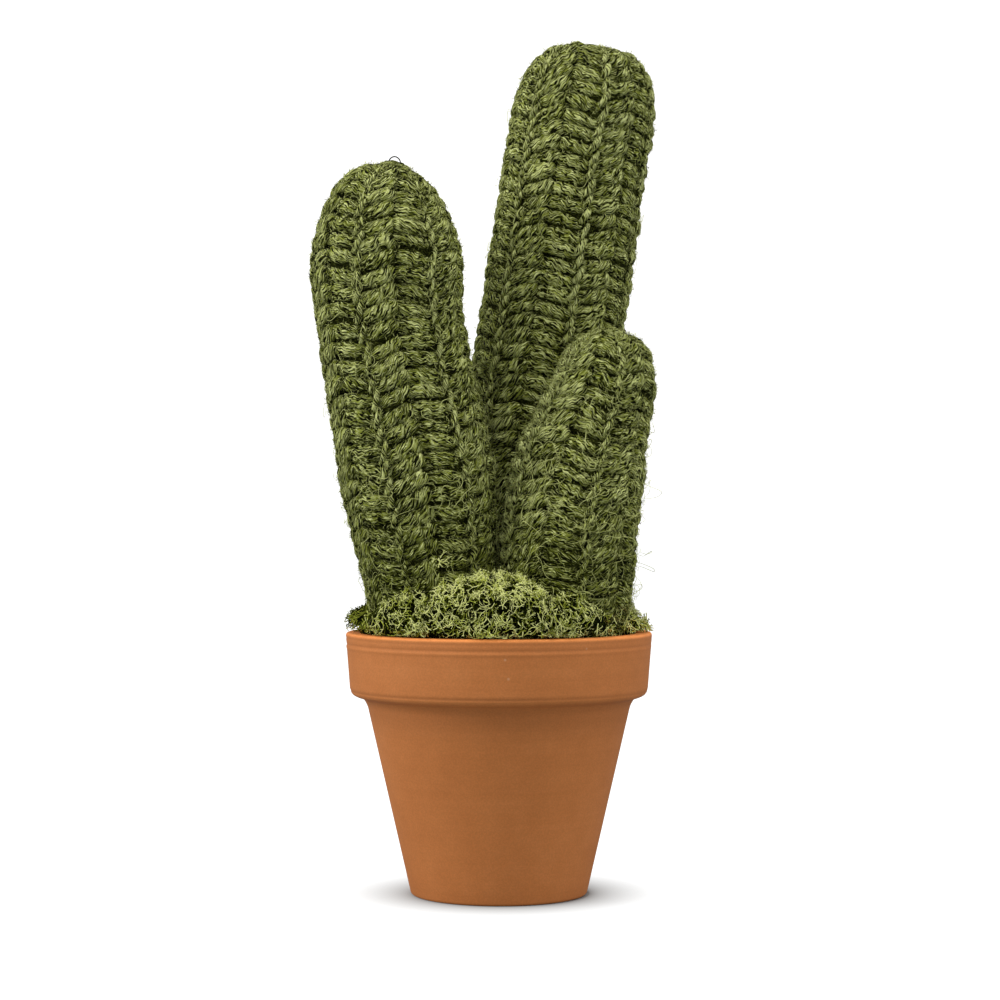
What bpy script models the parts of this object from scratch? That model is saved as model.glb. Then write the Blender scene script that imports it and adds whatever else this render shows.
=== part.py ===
"""A crocheted cactus with three stuffed stems, in a terracotta pot dressed with moss.

Lengths are in metres and +Z is up. The origin is the middle of the model's footprint, on the
surface that the pot stands on. The front of the model faces -Y. Angles around the pot or a
stem are measured from the front towards +X.
"""
import math
import random

import bmesh
import bpy
import numpy as np
from mathutils import Matrix, Vector

# Clearances between pieces that touch
GAP = 0.0003

# The pot
POT_AXIS_X = 0.0058
POT_HEIGHT = 0.098
POT_BASE_RADIUS = 0.0332
POT_NECK_RADIUS = 0.0492
POT_NECK_HEIGHT = 0.0706
RIM_LOWER_RADIUS = 0.0560
RIM_UPPER_RADIUS = 0.0574
RIM_LIP_HEIGHT = 0.0044
POT_FLOOR = 0.0065
POT_INNER_BASE_RADIUS = 0.0262
POT_INNER_NECK_RADIUS = 0.0442
POT_MOUTH_RADIUS = 0.0516
DRAIN_RADIUS = 0.0050
EDGE_ROUNDING = 0.0012
POT_SIDES = 60

# The foam block in the pot, which the stems stand on
FOAM_BOTTOM = POT_FLOOR + GAP
FOAM_TOP = 0.0800
FOAM_SIDES = 48

# The wooden stakes that hold the stuffed stems up
STAKE_RADIUS = 0.0025
STAKE_FOOT = 0.0350
STAKE_POINT = 0.0060
STAKE_SIDES = 12

# The crochet
STEM_FOOT = FOAM_TOP + GAP
COVER_THICKNESS = 0.0042
STITCH_PITCH = 0.0116
SAMPLES_PER_RIB = 6
CHAIN_HEIGHT = 0.0013
VALLEY_DEPTH = 0.0020
LOOP_HEIGHT = 0.0014
RIDGE_SHARE = 0.09
INNER_SAMPLES_PER_RIB = 3
INNER_ROWS = 9
UPRIGHT_BELOW = 0.125
PRESS_SOFTNESS = 0.003

# Each stem: its number of ribs, the angle of one chain line, the height that its domed top
# begins at, how blunt that top is, the height of its stake's tip, and the height, place
# across, place in depth and radius of the points that its middle line goes through
STEMS = {
    "left": {
        "ribs": 6,
        "chain_angle": -21.0,
        "dome_from": 0.227,
        "bluntness": 2.1,
        "stake_top": 0.200,
        "line": (
            (STEM_FOOT, -0.0178, -0.0125, 0.0208),
            (0.1000, -0.0213, -0.0130, 0.0225),
            (0.1230, -0.0250, -0.0135, 0.0242),
            (0.1500, -0.0287, -0.0142, 0.0269),
            (0.1730, -0.0331, -0.0150, 0.0262),
            (0.1950, -0.0371, -0.0155, 0.0255),
            (0.2170, -0.0405, -0.0160, 0.0256),
            (0.2340, -0.0413, -0.0160, 0.0270),
            (0.2560, -0.0408, -0.0160, 0.0269),
            (0.2712, -0.0380, -0.0160, 0.0266),
        ),
    },
    "tall": {
        "ribs": 6,
        "chain_angle": 14.0,
        "dome_from": 0.286,
        "bluntness": 3.0,
        "stake_top": 0.240,
        "line": (
            (STEM_FOOT, 0.0025, 0.0245, 0.0230),
            (0.1000, 0.0042, 0.0253, 0.0248),
            (0.1250, 0.0070, 0.0260, 0.0262),
            (0.1600, 0.0122, 0.0265, 0.0267),
            (0.2000, 0.0179, 0.0270, 0.0267),
            (0.2400, 0.0238, 0.0275, 0.0267),
            (0.2800, 0.0297, 0.0280, 0.0266),
            (0.3010, 0.0331, 0.0280, 0.0266),
            (0.3220, 0.0353, 0.0280, 0.0266),
        ),
    },
    "small": {
        "ribs": 5,
        "chain_angle": 15.0,
        "dome_from": 0.188,
        "bluntness": 2.2,
        "stake_top": 0.160,
        "line": (
            (STEM_FOOT, 0.0212, -0.0125, 0.0212),
            (0.1000, 0.0222, -0.0132, 0.0231),
            (0.1210, 0.0238, -0.0135, 0.0242),
            (0.1396, 0.0255, -0.0136, 0.0238),
            (0.1618, 0.0302, -0.0138, 0.0217),
            (0.1729, 0.0337, -0.0140, 0.0190),
            (0.1840, 0.0375, -0.0140, 0.0174),
            (0.1950, 0.0399, -0.0140, 0.0168),
            (0.2100, 0.0408, -0.0140, 0.0165),
        ),
    },
}

# The moss: one clump for each sector of the pot's mouth, between two angles, with the height
# of its top and the angles of the tufts that it is made of
MOSS_SECTORS = {
    "front": {"from": -31.0, "to": 20.0, "top": 0.1190, "tufts": (-23.0, -9.0, 3.0, 13.0)},
    "front_right": {"from": 20.0, "to": 47.0, "top": 0.1135, "tufts": (27.0, 39.0)},
    "right": {"from": 47.0, "to": 96.0, "top": 0.1085, "tufts": (54.0, 70.0, 86.0)},
    "back_right": {"from": 96.0, "to": 150.0, "top": 0.1130, "tufts": (106.0, 123.0, 140.0)},
    "back": {"from": 150.0, "to": 205.0, "top": 0.1085, "tufts": (159.0, 177.0, 195.0)},
    "back_left": {"from": 205.0, "to": 262.0, "top": 0.1140, "tufts": (215.0, 233.0, 251.0)},
    "left": {"from": 262.0, "to": 302.0, "top": 0.1110, "tufts": (269.0, 282.0, 295.0)},
    "front_left": {"from": 302.0, "to": 329.0, "top": 0.1120, "tufts": (309.0, 321.0)},
}
MOSS_SEED = 11
MOSS_FLOOR = FOAM_TOP + GAP
MOSS_REACH = 0.0576
MOSS_CLEARANCE = 0.0008
MOSS_SECTOR_CLEARANCE = 0.0003
TUFT_SIDES = 8
TUFT_LEVELS = 5
TUFT_LUMPS = 0.22
TUFT_OPEN_SHARE = 0.58
TUFT_REACH = 0.0088
TUFT_LONGEST_RAY = 0.026
TUFT_RAY_STEPS = 140
TWIGS_PER_TUFT = 7
TWIG_RADIUS = 0.0009
TWIG_LENGTH = 0.0030
TWIG_PRONG = 0.0030
TWIG_SHORTEST = 0.40
TWIG_SPREAD = 0.70
TWIG_APART = 0.0026
TWIG_ROOT_SHARE = 0.55
TWIG_TRIES = 260

# Colour, roughness and metallic value of each material
MATERIALS = {
    "terracotta": ((0.406, 0.168, 0.059), 0.80, 0.0),
    "yarn": ((0.105, 0.130, 0.030), 0.95, 0.0),
    "stuffing": ((0.800, 0.790, 0.760), 0.95, 0.0),
    "foam": ((0.060, 0.110, 0.050), 0.95, 0.0),
    "wood": ((0.550, 0.380, 0.210), 0.70, 0.0),
    "moss": ((0.150, 0.190, 0.055), 0.95, 0.0),
}


def clear_scene():
    """Removes every object, so that the model starts from nothing."""
    for thing in list(bpy.data.objects):
        bpy.data.objects.remove(thing, do_unlink=True)


def make_material(name):
    """Gives the named plain material, made the first time that it is asked for."""
    material = bpy.data.materials.get(name)
    if material:
        return material
    colour, roughness, metallic = MATERIALS[name]
    material = bpy.data.materials.new(name)
    material.use_nodes = True
    shader = material.node_tree.nodes["Principled BSDF"]
    shader.inputs["Base Color"].default_value = (*colour, 1.0)
    shader.inputs["Roughness"].default_value = roughness
    shader.inputs["Metallic"].default_value = metallic
    return material


def add_object(name, mesh_builder, parent, material=None):
    """Turns a bmesh into an object under the parent, and gives the object."""
    mesh = bpy.data.meshes.new(name)
    bmesh.ops.recalc_face_normals(mesh_builder, faces=mesh_builder.faces)
    mesh_builder.to_mesh(mesh)
    mesh_builder.free()
    thing = bpy.data.objects.new(name, mesh)
    bpy.context.scene.collection.objects.link(thing)
    thing.parent = parent
    if material:
        mesh.materials.append(make_material(material))
    return thing


def round_off(corner, before, after, rounding, steps=2):
    """Gives the points of a rounding that replaces a corner between two straight lines."""
    corner = Vector(corner)
    start = corner + (Vector(before) - corner).normalized() * rounding
    end = corner + (Vector(after) - corner).normalized() * rounding
    points = []
    for step in range(steps + 1):
        share = step / steps
        points.append(start * (1 - share) ** 2 + corner * 2 * share * (1 - share) + end * share ** 2)
    return [tuple(point) for point in points]


def rounded_outline(corners):
    """Gives a closed outline from (radius, height, rounding) corners."""
    points = []
    for index, (radius, height, rounding) in enumerate(corners):
        before = corners[index - 1][:2]
        after = corners[(index + 1) % len(corners)][:2]
        if rounding:
            points += round_off((radius, height), before, after, rounding)
        else:
            points.append((radius, height))
    return points


def turned_ring(outline, sides):
    """Spins a closed outline of (radius, height) points about the Z axis."""
    builder = bmesh.new()
    verts = [builder.verts.new((radius, 0.0, height)) for radius, height in outline]
    edges = [builder.edges.new((verts[i - 1], verts[i])) for i in range(len(verts))]
    bmesh.ops.spin(builder, geom=verts + edges, cent=(0, 0, 0), axis=(0, 0, 1), dvec=(0, 0, 0),
                   angle=2 * math.pi, steps=sides, use_merge=False, use_duplicate=False)
    bmesh.ops.remove_doubles(builder, verts=builder.verts, dist=1e-6)
    return builder


def pot_inner_radius(height):
    """Radius of the pot's inner wall, which widens in two straight runs and then opens out."""
    heights = (POT_FLOOR, POT_NECK_HEIGHT, POT_HEIGHT, POT_HEIGHT + 0.020)
    radii = (POT_INNER_BASE_RADIUS, POT_INNER_NECK_RADIUS, POT_MOUTH_RADIUS,
             POT_MOUTH_RADIUS + 0.040)
    return np.interp(height, heights, radii)


def make_pot(parent):
    """The terracotta pot: a tapered cup with a thick rim and a drain hole, in one piece."""
    lip_height = POT_NECK_HEIGHT + RIM_LIP_HEIGHT
    outline = rounded_outline([
        (DRAIN_RADIUS, 0.0, 0.0),
        (POT_BASE_RADIUS - 0.0003, 0.0, EDGE_ROUNDING),
        (POT_NECK_RADIUS, POT_NECK_HEIGHT, 0.0),
        (POT_NECK_RADIUS + 0.0015, lip_height - 0.0018, 0.0),
        (RIM_LOWER_RADIUS - 0.0004, lip_height - 0.0002, 0.0024),
        (RIM_UPPER_RADIUS, POT_HEIGHT, 0.0014),
        (POT_MOUTH_RADIUS, POT_HEIGHT, 0.0014),
        (POT_INNER_NECK_RADIUS, POT_NECK_HEIGHT, 0.0),
        (POT_INNER_BASE_RADIUS, POT_FLOOR, 0.0),
        (DRAIN_RADIUS, POT_FLOOR, 0.0),
    ])
    pot = add_object("pot", turned_ring(outline, POT_SIDES), parent, "terracotta")
    pot.data.shade_smooth()
    pot.data.set_sharp_from_angle(angle=math.radians(40))
    return pot


def cubic_through(keys, column, heights):
    """Reads one column of a stem's line at any height, on a smooth cubic through its keys."""
    table = np.array(keys)
    places = table[:, 0]
    values = table[:, column]
    slopes = np.gradient(values, places)
    heights = np.asarray(heights, dtype=float)
    held = np.clip(heights, places[0], places[-1])
    index = np.clip(np.searchsorted(places, held) - 1, 0, len(places) - 2)
    span = places[index + 1] - places[index]
    share = (held - places[index]) / span
    rise = share * share * (3 - 2 * share)
    inner = (values[index] * (1 - rise) + values[index + 1] * rise
             + span * share * (1 - share) * ((1 - share) * slopes[index] - share * slopes[index + 1]))
    end_slope = np.where(heights > held, slopes[-1], slopes[0])
    return inner + end_slope * (heights - held)


def stem_middle(stem, heights):
    """Place across and in depth of a stem's middle line at each height."""
    return cubic_through(stem["line"], 1, heights), cubic_through(stem["line"], 2, heights)


def stem_radius(stem, heights):
    """Radius of a stem at each height: its key radius, closed by a dome at the top."""
    top = stem["line"][-1][0]
    full = cubic_through(stem["line"], 3, heights)
    share = np.clip((np.asarray(heights) - stem["dome_from"]) / (top - stem["dome_from"]), 0, 1)
    blunt = stem["bluntness"]
    return full * (1 - share ** blunt) ** (1 / blunt)


def stem_profile(stem, count, inset):
    """Gives count + 1 (radius, height) points up a stem, evenly spaced along its outline.

    The outline is the stem's radius against height. It is moved inwards by the inset, along
    its own normal, and its foot stays level.
    """
    top = stem["line"][-1][0]
    share = np.linspace(0, 1, 800)
    heights = STEM_FOOT + (top - STEM_FOOT) * np.sin(share * math.pi / 2)
    radii = stem_radius(stem, heights)
    run = np.gradient(radii)
    rise = np.gradient(heights)
    length = np.hypot(run, rise)
    inner_radii = np.maximum(radii - inset * rise / length, 0.0)
    inner_heights = heights + inset * run / length
    inner_radii[-1] = 0.0
    inner_heights[-1] = top - inset
    inner_heights[0] = STEM_FOOT
    walked = np.concatenate(([0], np.cumsum(np.hypot(np.diff(inner_radii), np.diff(inner_heights)))))
    stops = np.linspace(0, walked[-1], count + 1)
    return np.interp(stops, walked, inner_radii), np.interp(stops, walked, inner_heights), walked[-1]


def soft_limit(value, limit):
    """Holds a value under a limit, with a rounded turn instead of a corner."""
    room = limit - value
    return limit - 0.5 * (room + np.sqrt(room * room + PRESS_SOFTNESS ** 2))


def press_stem(name, points, inset):
    """Flattens a stem where it meets its neighbours and the pot's wall.

    At each height, the line between two stems' middles is shared out by their radii, and no
    point of either passes the upright plane there. The pot's wall is a limit on the distance
    from the pot's axis in the same way.
    """
    own = STEMS[name]
    x, y, z = points[..., 0].copy(), points[..., 1].copy(), points[..., 2]
    own_x, own_y = stem_middle(own, z)
    for other_name, other in STEMS.items():
        if other_name == name:
            continue
        other_x, other_y = stem_middle(other, z)
        apart = np.hypot(other_x - own_x, other_y - own_y)
        toward_x = (other_x - own_x) / apart
        toward_y = (other_y - own_y) / apart
        own_radius = np.maximum(stem_radius(own, z), 0.002)
        other_radius = np.maximum(stem_radius(other, z), 0.002)
        limit = apart * own_radius / (own_radius + other_radius) - GAP - inset
        reach = (x - own_x) * toward_x + (y - own_y) * toward_y
        change = soft_limit(reach, limit) - reach
        x += change * toward_x
        y += change * toward_y
    distance = np.maximum(np.hypot(x, y), 1e-6)
    held = soft_limit(distance, pot_inner_radius(z) - GAP - inset) / distance
    return np.stack((x * held, y * held, z), axis=-1)


def stem_surface(name, radii, heights, angles, inset):
    """Gives the points of a stem's skin, one row for each height.

    Each ring is square to the stem's middle line, and turns level towards the foot, so that
    the foot stands flat.
    """
    stem = STEMS[name]
    across, depth = stem_middle(stem, heights)
    step = 0.001
    ahead_x, ahead_y = stem_middle(stem, heights + step)
    behind_x, behind_y = stem_middle(stem, heights - step)
    upright = np.clip((heights - STEM_FOOT) / (UPRIGHT_BELOW - STEM_FOOT), 0, 1)
    lean_x = (ahead_x - behind_x) / (2 * step) * upright
    lean_y = (ahead_y - behind_y) / (2 * step) * upright
    out_x = radii * np.sin(angles)[None, :]
    out_y = -radii * np.cos(angles)[None, :]
    down = out_x * lean_x[:, None] + out_y * lean_y[:, None]
    points = np.stack((across[:, None] + out_x, depth[:, None] + out_y,
                       heights[:, None] - down), axis=-1)
    points[0, :, 2] = STEM_FOOT
    return press_stem(name, points, inset)


def stitch_relief(rib_share, stitches):
    """Height of the crochet above its mean surface.

    A chain stands up where each rib begins. Two columns of loops beside it rise and fall once
    a stitch, half a stitch apart, and a valley runs where they meet.
    """
    from_chain = np.minimum(rib_share, 1 - rib_share)
    chain = CHAIN_HEIGHT * np.exp(-(from_chain / RIDGE_SHARE) ** 2)
    valley = VALLEY_DEPTH * np.exp(-((rib_share - 0.5) / RIDGE_SHARE) ** 2)
    column = np.sin(2 * math.pi * rib_share) ** 2
    offset = np.where(rib_share < 0.5, 0.0, 0.5)
    loops = LOOP_HEIGHT * column * np.cos(2 * math.pi * (stitches + offset))
    return chain - valley + loops


def skin_rings(builder, points):
    """Makes vertices for rows of points, and the bands of faces between the rows."""
    rings = [[builder.verts.new(point) for point in row] for row in points.tolist()]
    for lower, upper in zip(rings, rings[1:]):
        for index in range(len(lower)):
            builder.faces.new((lower[index - 1], lower[index], upper[index], upper[index - 1]))
    return rings


def close_top(builder, ring, point):
    """Closes a ring with a fan of faces to one point."""
    tip = builder.verts.new(point)
    for index in range(len(ring)):
        builder.faces.new((ring[index - 1], ring[index], tip))


def stem_tip(name, height):
    """The point where a stem's middle line reaches a height."""
    across, depth = stem_middle(STEMS[name], np.array([height]))
    return (float(across[0]), float(depth[0]), float(height))


def rib_angles(stem, samples):
    """Angles round a stem with so many samples in each rib, from one chain line on."""
    sides = stem["ribs"] * samples
    return math.radians(stem["chain_angle"]) + np.arange(sides) * 2 * math.pi / sides


def inner_skin(builder, name, inset):
    """A plain skin inside the crochet, moved inwards by the inset. Gives its lowest ring."""
    radii, heights, _ = stem_profile(STEMS[name], INNER_ROWS, inset)
    angles = rib_angles(STEMS[name], INNER_SAMPLES_PER_RIB)
    points = stem_surface(name, radii[:-1, None], heights[:-1], angles, inset)
    rings = skin_rings(builder, points)
    close_top(builder, rings[-1], stem_tip(name, heights[-1]))
    return rings[0]


def close_foot(builder, outer, inner):
    """Closes the foot of a tube, whose inner ring has half as many corners as its outer one."""
    for index in range(len(inner)):
        ahead = (index + 1) % len(inner)
        middle = outer[2 * index + 1]
        builder.faces.new((inner[index], outer[2 * index], middle))
        builder.faces.new((inner[index], middle, inner[ahead]))
        builder.faces.new((inner[ahead], middle, outer[2 * ahead]))


def make_cover(name, parent):
    """One crocheted stem: a tube with a domed top, ribbed outside and plain inside."""
    stem = STEMS[name]
    length = stem_profile(stem, 1, 0.0)[2]
    rows = 2 * round(length / STITCH_PITCH)
    radii, heights, _ = stem_profile(stem, rows, 0.0)
    angles = rib_angles(stem, SAMPLES_PER_RIB)
    rib_share = (np.arange(len(angles)) % SAMPLES_PER_RIB) / SAMPLES_PER_RIB
    stitches = np.arange(rows) / 2
    fade = np.clip(radii[:-1] / np.max(radii) * 1.3 - 0.15, 0, 1)[:, None]
    relief = stitch_relief(rib_share[None, :], stitches[:, None]) * fade
    points = stem_surface(name, radii[:-1, None] + relief, heights[:-1], angles, 0.0)
    builder = bmesh.new()
    rings = skin_rings(builder, points)
    close_top(builder, rings[-1], stem_tip(name, heights[-1]))
    close_foot(builder, rings[0], inner_skin(builder, name, COVER_THICKNESS))
    cover = add_object("crochet_" + name, builder, parent, "yarn")
    cover.data.shade_smooth()
    return cover


def stake_line(name):
    """The lower end and the direction of a stem's stake, and the stake's length."""
    stem = STEMS[name]
    low = Vector(stem_tip(name, STEM_FOOT))
    high = Vector(stem_tip(name, stem["stake_top"]))
    direction = (high - low).normalized()
    foot = low - direction * ((STEM_FOOT - STAKE_FOOT) / direction.z)
    return foot, direction, (high - foot).length


def round_bar(radius, start, direction, length, sides, point=0.0):
    """A round bar along a direction, with a tapered point at its lower end."""
    builder = bmesh.new()
    bmesh.ops.create_cone(builder, cap_ends=True, segments=sides, radius1=radius, radius2=radius,
                          depth=length - point,
                          matrix=Matrix.Translation((0, 0, point + (length - point) / 2)))
    if point:
        bottom = [face for face in builder.faces if face.calc_center_median().z < point + 1e-6]
        lowest = min(bottom, key=lambda face: face.calc_center_median().z)
        made = bmesh.ops.extrude_discrete_faces(builder, faces=[lowest])
        for vert in made["faces"][0].verts:
            vert.co = Vector((vert.co.x * 0.3, vert.co.y * 0.3, 0.0))
    turn = Vector((0, 0, 1)).rotation_difference(direction).to_matrix().to_4x4()
    builder.transform(Matrix.Translation(start) @ turn)
    return builder


def make_stake(name, parent):
    """A wooden stake, pointed at its foot, that goes from the foam up into a stem."""
    foot, direction, length = stake_line(name)
    builder = round_bar(STAKE_RADIUS, foot, direction, length, STAKE_SIDES, STAKE_POINT)
    return add_object("stake_" + name, builder, parent, "wood")


def make_stake_cutter(name, parent):
    """A hidden bar, a little larger than a stake, that cuts the stake's hole."""
    foot, direction, length = stake_line(name)
    builder = round_bar(STAKE_RADIUS + GAP, foot - direction * GAP, direction, length + 2 * GAP,
                        STAKE_SIDES)
    cutter = add_object("cutter_" + name, builder, parent)
    cutter.hide_render = True
    cutter.display_type = "WIRE"
    return cutter


def cut(target, cutter):
    """Cuts one solid out of another."""
    boolean = target.modifiers.new("hole", "BOOLEAN")
    boolean.operation = "DIFFERENCE"
    boolean.solver = "EXACT"
    boolean.object = cutter


def make_filling(name, parent, cutter):
    """The stuffing of one stem, with a hole for its stake."""
    builder = bmesh.new()
    lowest = inner_skin(builder, name, COVER_THICKNESS + GAP)
    builder.faces.new(lowest)
    filling = add_object("stuffing_" + name, builder, parent, "stuffing")
    cut(filling, cutter)
    return filling


def make_foam(parent, cutters):
    """The block of foam that fills the pot, with a hole for each stake."""
    outline = [(float(pot_inner_radius(height)) - GAP, height)
               for height in (FOAM_BOTTOM, POT_NECK_HEIGHT, FOAM_TOP)]
    builder = bmesh.new()
    rings = []
    for radius, height in outline:
        ring = bmesh.ops.create_circle(builder, segments=FOAM_SIDES, radius=radius,
                                       matrix=Matrix.Translation((0, 0, height)))["verts"]
        rings.append(ring)
    for lower, upper in zip(rings, rings[1:]):
        for index in range(FOAM_SIDES):
            builder.faces.new((lower[index - 1], lower[index], upper[index], upper[index - 1]))
    builder.faces.new(rings[0])
    builder.faces.new(rings[-1])
    foam = add_object("foam_block", builder, parent, "foam")
    for cutter in cutters:
        cut(foam, cutter)
    return foam


def moss_room(points, sector):
    """How far each point of the moss is from the nearest thing that it must keep clear of.

    That is the three stems, the pot's wall and rim, the foam, the sector's two sides, the
    reach over the rim, and the clump's own top. Room is negative inside any of them.
    """
    x, y, z = points[..., 0], points[..., 1], points[..., 2]
    distance = np.hypot(x, y)
    room = np.minimum(z - MOSS_FLOOR, MOSS_REACH - distance)
    room = np.minimum(room, sector["top"] - z)
    inside_wall = pot_inner_radius(np.minimum(z, POT_HEIGHT)) - GAP - distance
    over_rim = z - POT_HEIGHT - GAP
    room = np.minimum(room, np.maximum(inside_wall, over_rim))
    for stem in STEMS.values():
        stem_x, stem_y = stem_middle(stem, z)
        reach = stem_radius(stem, z) + CHAIN_HEIGHT + MOSS_CLEARANCE
        room = np.minimum(room, np.hypot(x - stem_x, y - stem_y) - reach)
    for angle, side in ((sector["from"], 1.0), (sector["to"], -1.0)):
        turn = math.radians(angle)
        from_side = side * (x * math.cos(turn) + y * math.sin(turn))
        room = np.minimum(room, from_side - MOSS_SECTOR_CLEARANCE)
    return room


def core_room(points, sector, on_rim):
    """The room of a clump's core, which lies wholly on the rim or wholly inside the mouth."""
    distance = np.hypot(points[..., 0], points[..., 1])
    height = points[..., 2]
    if on_rim:
        held = height - POT_HEIGHT - GAP
    else:
        held = pot_inner_radius(np.minimum(height, POT_HEIGHT)) - 2 * GAP - distance
    return np.minimum(moss_room(points, sector), held)


def tuft_heart(sector, angle):
    """The point at an angle round the pot that has the most room round it."""
    turn = math.radians(angle)
    out, height = np.meshgrid(np.linspace(0.030, MOSS_REACH, 40),
                              np.linspace(0.088, sector["top"] - 0.003, 30), indexing="ij")
    places = np.stack((out * math.sin(turn), -out * math.cos(turn), height), axis=-1)
    places = places.reshape(-1, 3)
    return places[int(np.argmax(moss_room(places, sector)))]


def core_reach(heart, directions, sector):
    """How far a tuft's core goes in each direction.

    A ray goes on until it runs out of room. The core fills the room below its heart, and
    leaves part of the room above and in front to the twigs.
    """
    on_rim = math.hypot(heart[0], heart[1]) > POT_MOUTH_RADIUS - 2 * MOSS_CLEARANCE
    steps = np.linspace(0.0, TUFT_LONGEST_RAY, TUFT_RAY_STEPS)
    places = heart + directions[:, None, :] * steps[None, :, None]
    blocked = core_room(places, sector, on_rim) < 0.0
    first_blocked = np.where(blocked.any(axis=1), blocked.argmax(axis=1), len(steps))
    free = steps[np.maximum(first_blocked - 1, 1)]
    fill = np.clip((0.25 - directions[:, 2]) / 0.5, 0, 1)
    free = free * (TUFT_OPEN_SHARE + (1 - TUFT_OPEN_SHARE) * fill)
    longest = TUFT_REACH + (TUFT_LONGEST_RAY - TUFT_REACH) * np.clip(-directions[:, 2], 0, 1) ** 2
    return np.minimum(free, longest)


def make_tuft_core(sector, heart, rng):
    """The lumpy heart of a tuft: rays from its middle, each as long as there is room for."""
    levels = np.radians(np.linspace(-90, 90, TUFT_LEVELS)[1:-1])
    turns = np.arange(TUFT_SIDES) * 2 * math.pi / TUFT_SIDES
    level, turn = np.meshgrid(levels, turns, indexing="ij")
    directions = np.stack((np.cos(level) * np.cos(turn), np.cos(level) * np.sin(turn),
                           np.sin(level)), axis=-1).reshape(-1, 3)
    poles = np.array([(0.0, 0.0, -1.0), (0.0, 0.0, 1.0)])
    directions = np.concatenate((directions, poles))
    lumps = 1.0 - TUFT_LUMPS * np.array([rng.random() for _ in directions])
    lumps[directions[:, 2] < -0.6] = 1.0
    places = heart + directions * (core_reach(heart, directions, sector) * lumps)[:, None]
    builder = bmesh.new()
    rows = places[:-2].reshape(TUFT_LEVELS - 2, TUFT_SIDES, 3)
    rings = skin_rings(builder, rows)
    close_top(builder, rings[0], places[-2])
    close_top(builder, rings[-1], places[-1])
    return builder


def forked_twig(root, fork, tips, side):
    """A three-sided twig that splits into two pointed prongs, as one closed solid."""
    axis = (fork - root).normalized()
    other = axis.cross(side)
    builder = bmesh.new()
    corners = ((0.95, -0.45), (0.0, 1.0), (-0.95, -0.45))
    low = [builder.verts.new(root + (side * u + other * v) * TWIG_RADIUS) for u, v in corners]
    top = [builder.verts.new(fork + (side * u + other * v) * TWIG_RADIUS) for u, v in corners]
    crotch = builder.verts.new(fork - other * TWIG_RADIUS * 0.5)
    ends = [builder.verts.new(tip) for tip in tips]
    builder.faces.new((low[2], low[1], low[0]))
    builder.faces.new((low[0], low[1], top[1], top[0]))
    builder.faces.new((low[1], low[2], top[2], top[1]))
    builder.faces.new((low[2], low[0], top[0], crotch))
    builder.faces.new((low[2], crotch, top[2]))
    for outer, end, way in ((top[0], ends[0], 1), (top[2], ends[1], -1)):
        for first, second in ((outer, top[1]), (top[1], crotch), (crotch, outer)):
            builder.faces.new((first, second, end)[::way])
    return builder


def random_direction(rng, lowest):
    """A random unit vector whose height is at least the lowest given."""
    height = lowest + (1 - lowest) * rng.random()
    turn = 2 * math.pi * rng.random()
    flat = math.sqrt(max(0.0, 1 - height * height))
    return Vector((flat * math.cos(turn), flat * math.sin(turn), height))


def tuft_twigs(sector, heart, rng):
    """Finds forked twigs that stand clear of everything. Gives their roots, forks and tips."""
    middle = Vector(heart)
    twigs = []
    for _ in range(TWIG_TRIES):
        if len(twigs) == TWIGS_PER_TUFT:
            break
        direction = random_direction(rng, -0.05)
        skin = core_reach(heart, np.array([direction]), sector)[0]
        root = middle + direction * skin * TWIG_ROOT_SHARE
        lean = (direction + random_direction(rng, -0.2) * 0.4).normalized()
        size = rng.uniform(TWIG_SHORTEST, 1.0)
        fork = middle + direction * skin + lean * TWIG_LENGTH * size
        side = (fork - root).cross(random_direction(rng, -1.0)).normalized()
        aim = (fork - root).normalized()
        tips = [fork + (aim + side * way * TWIG_SPREAD) * TWIG_PRONG * rng.uniform(0.8, 1.1) * size
                for way in (1.0, -1.0)]
        places = [middle.lerp(fork, share) for share in (0.6, 0.8, 1.0)]
        for tip in tips:
            places += [fork.lerp(tip, 0.5), tip]
        apart = min([(fork - other[1]).length for other in twigs], default=1.0)
        if np.min(moss_room(np.array(places), sector)) > TWIG_RADIUS and apart > TWIG_APART:
            twigs.append((root, fork, tips, side))
    return twigs


def keep_largest_body(builder):
    """Drops the loose scraps that a union may leave."""
    unseen = set(builder.verts)
    bodies = []
    while unseen:
        front = [unseen.pop()]
        body = set(front)
        while front:
            for edge in front.pop().link_edges:
                for vert in edge.verts:
                    if vert in unseen:
                        unseen.remove(vert)
                        body.add(vert)
                        front.append(vert)
        bodies.append(body)
    bodies.sort(key=len, reverse=True)
    for body in bodies[1:]:
        bmesh.ops.delete(builder, geom=list(body), context="VERTS")


def fuse(core, parts, name):
    """Joins loose solids to a core by one union, applies it and removes the helpers."""
    group = bpy.data.collections.new(name + "_parts")
    bpy.context.scene.collection.children.link(group)
    for part in parts:
        bpy.context.scene.collection.objects.unlink(part)
        group.objects.link(part)
    union = core.modifiers.new("union", "BOOLEAN")
    union.operation = "UNION"
    union.solver = "EXACT"
    union.operand_type = "COLLECTION"
    union.collection = group
    bpy.context.view_layer.update()
    evaluated = core.evaluated_get(bpy.context.evaluated_depsgraph_get())
    builder = bmesh.new()
    builder.from_mesh(evaluated.to_mesh())
    evaluated.to_mesh_clear()
    core.modifiers.clear()
    bmesh.ops.remove_doubles(builder, verts=builder.verts, dist=1e-6)
    keep_largest_body(builder)
    bmesh.ops.triangulate(builder, faces=builder.faces)
    builder.to_mesh(core.data)
    builder.free()
    for part in parts:
        bpy.data.objects.remove(part, do_unlink=True)
    bpy.data.collections.remove(group)


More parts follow.
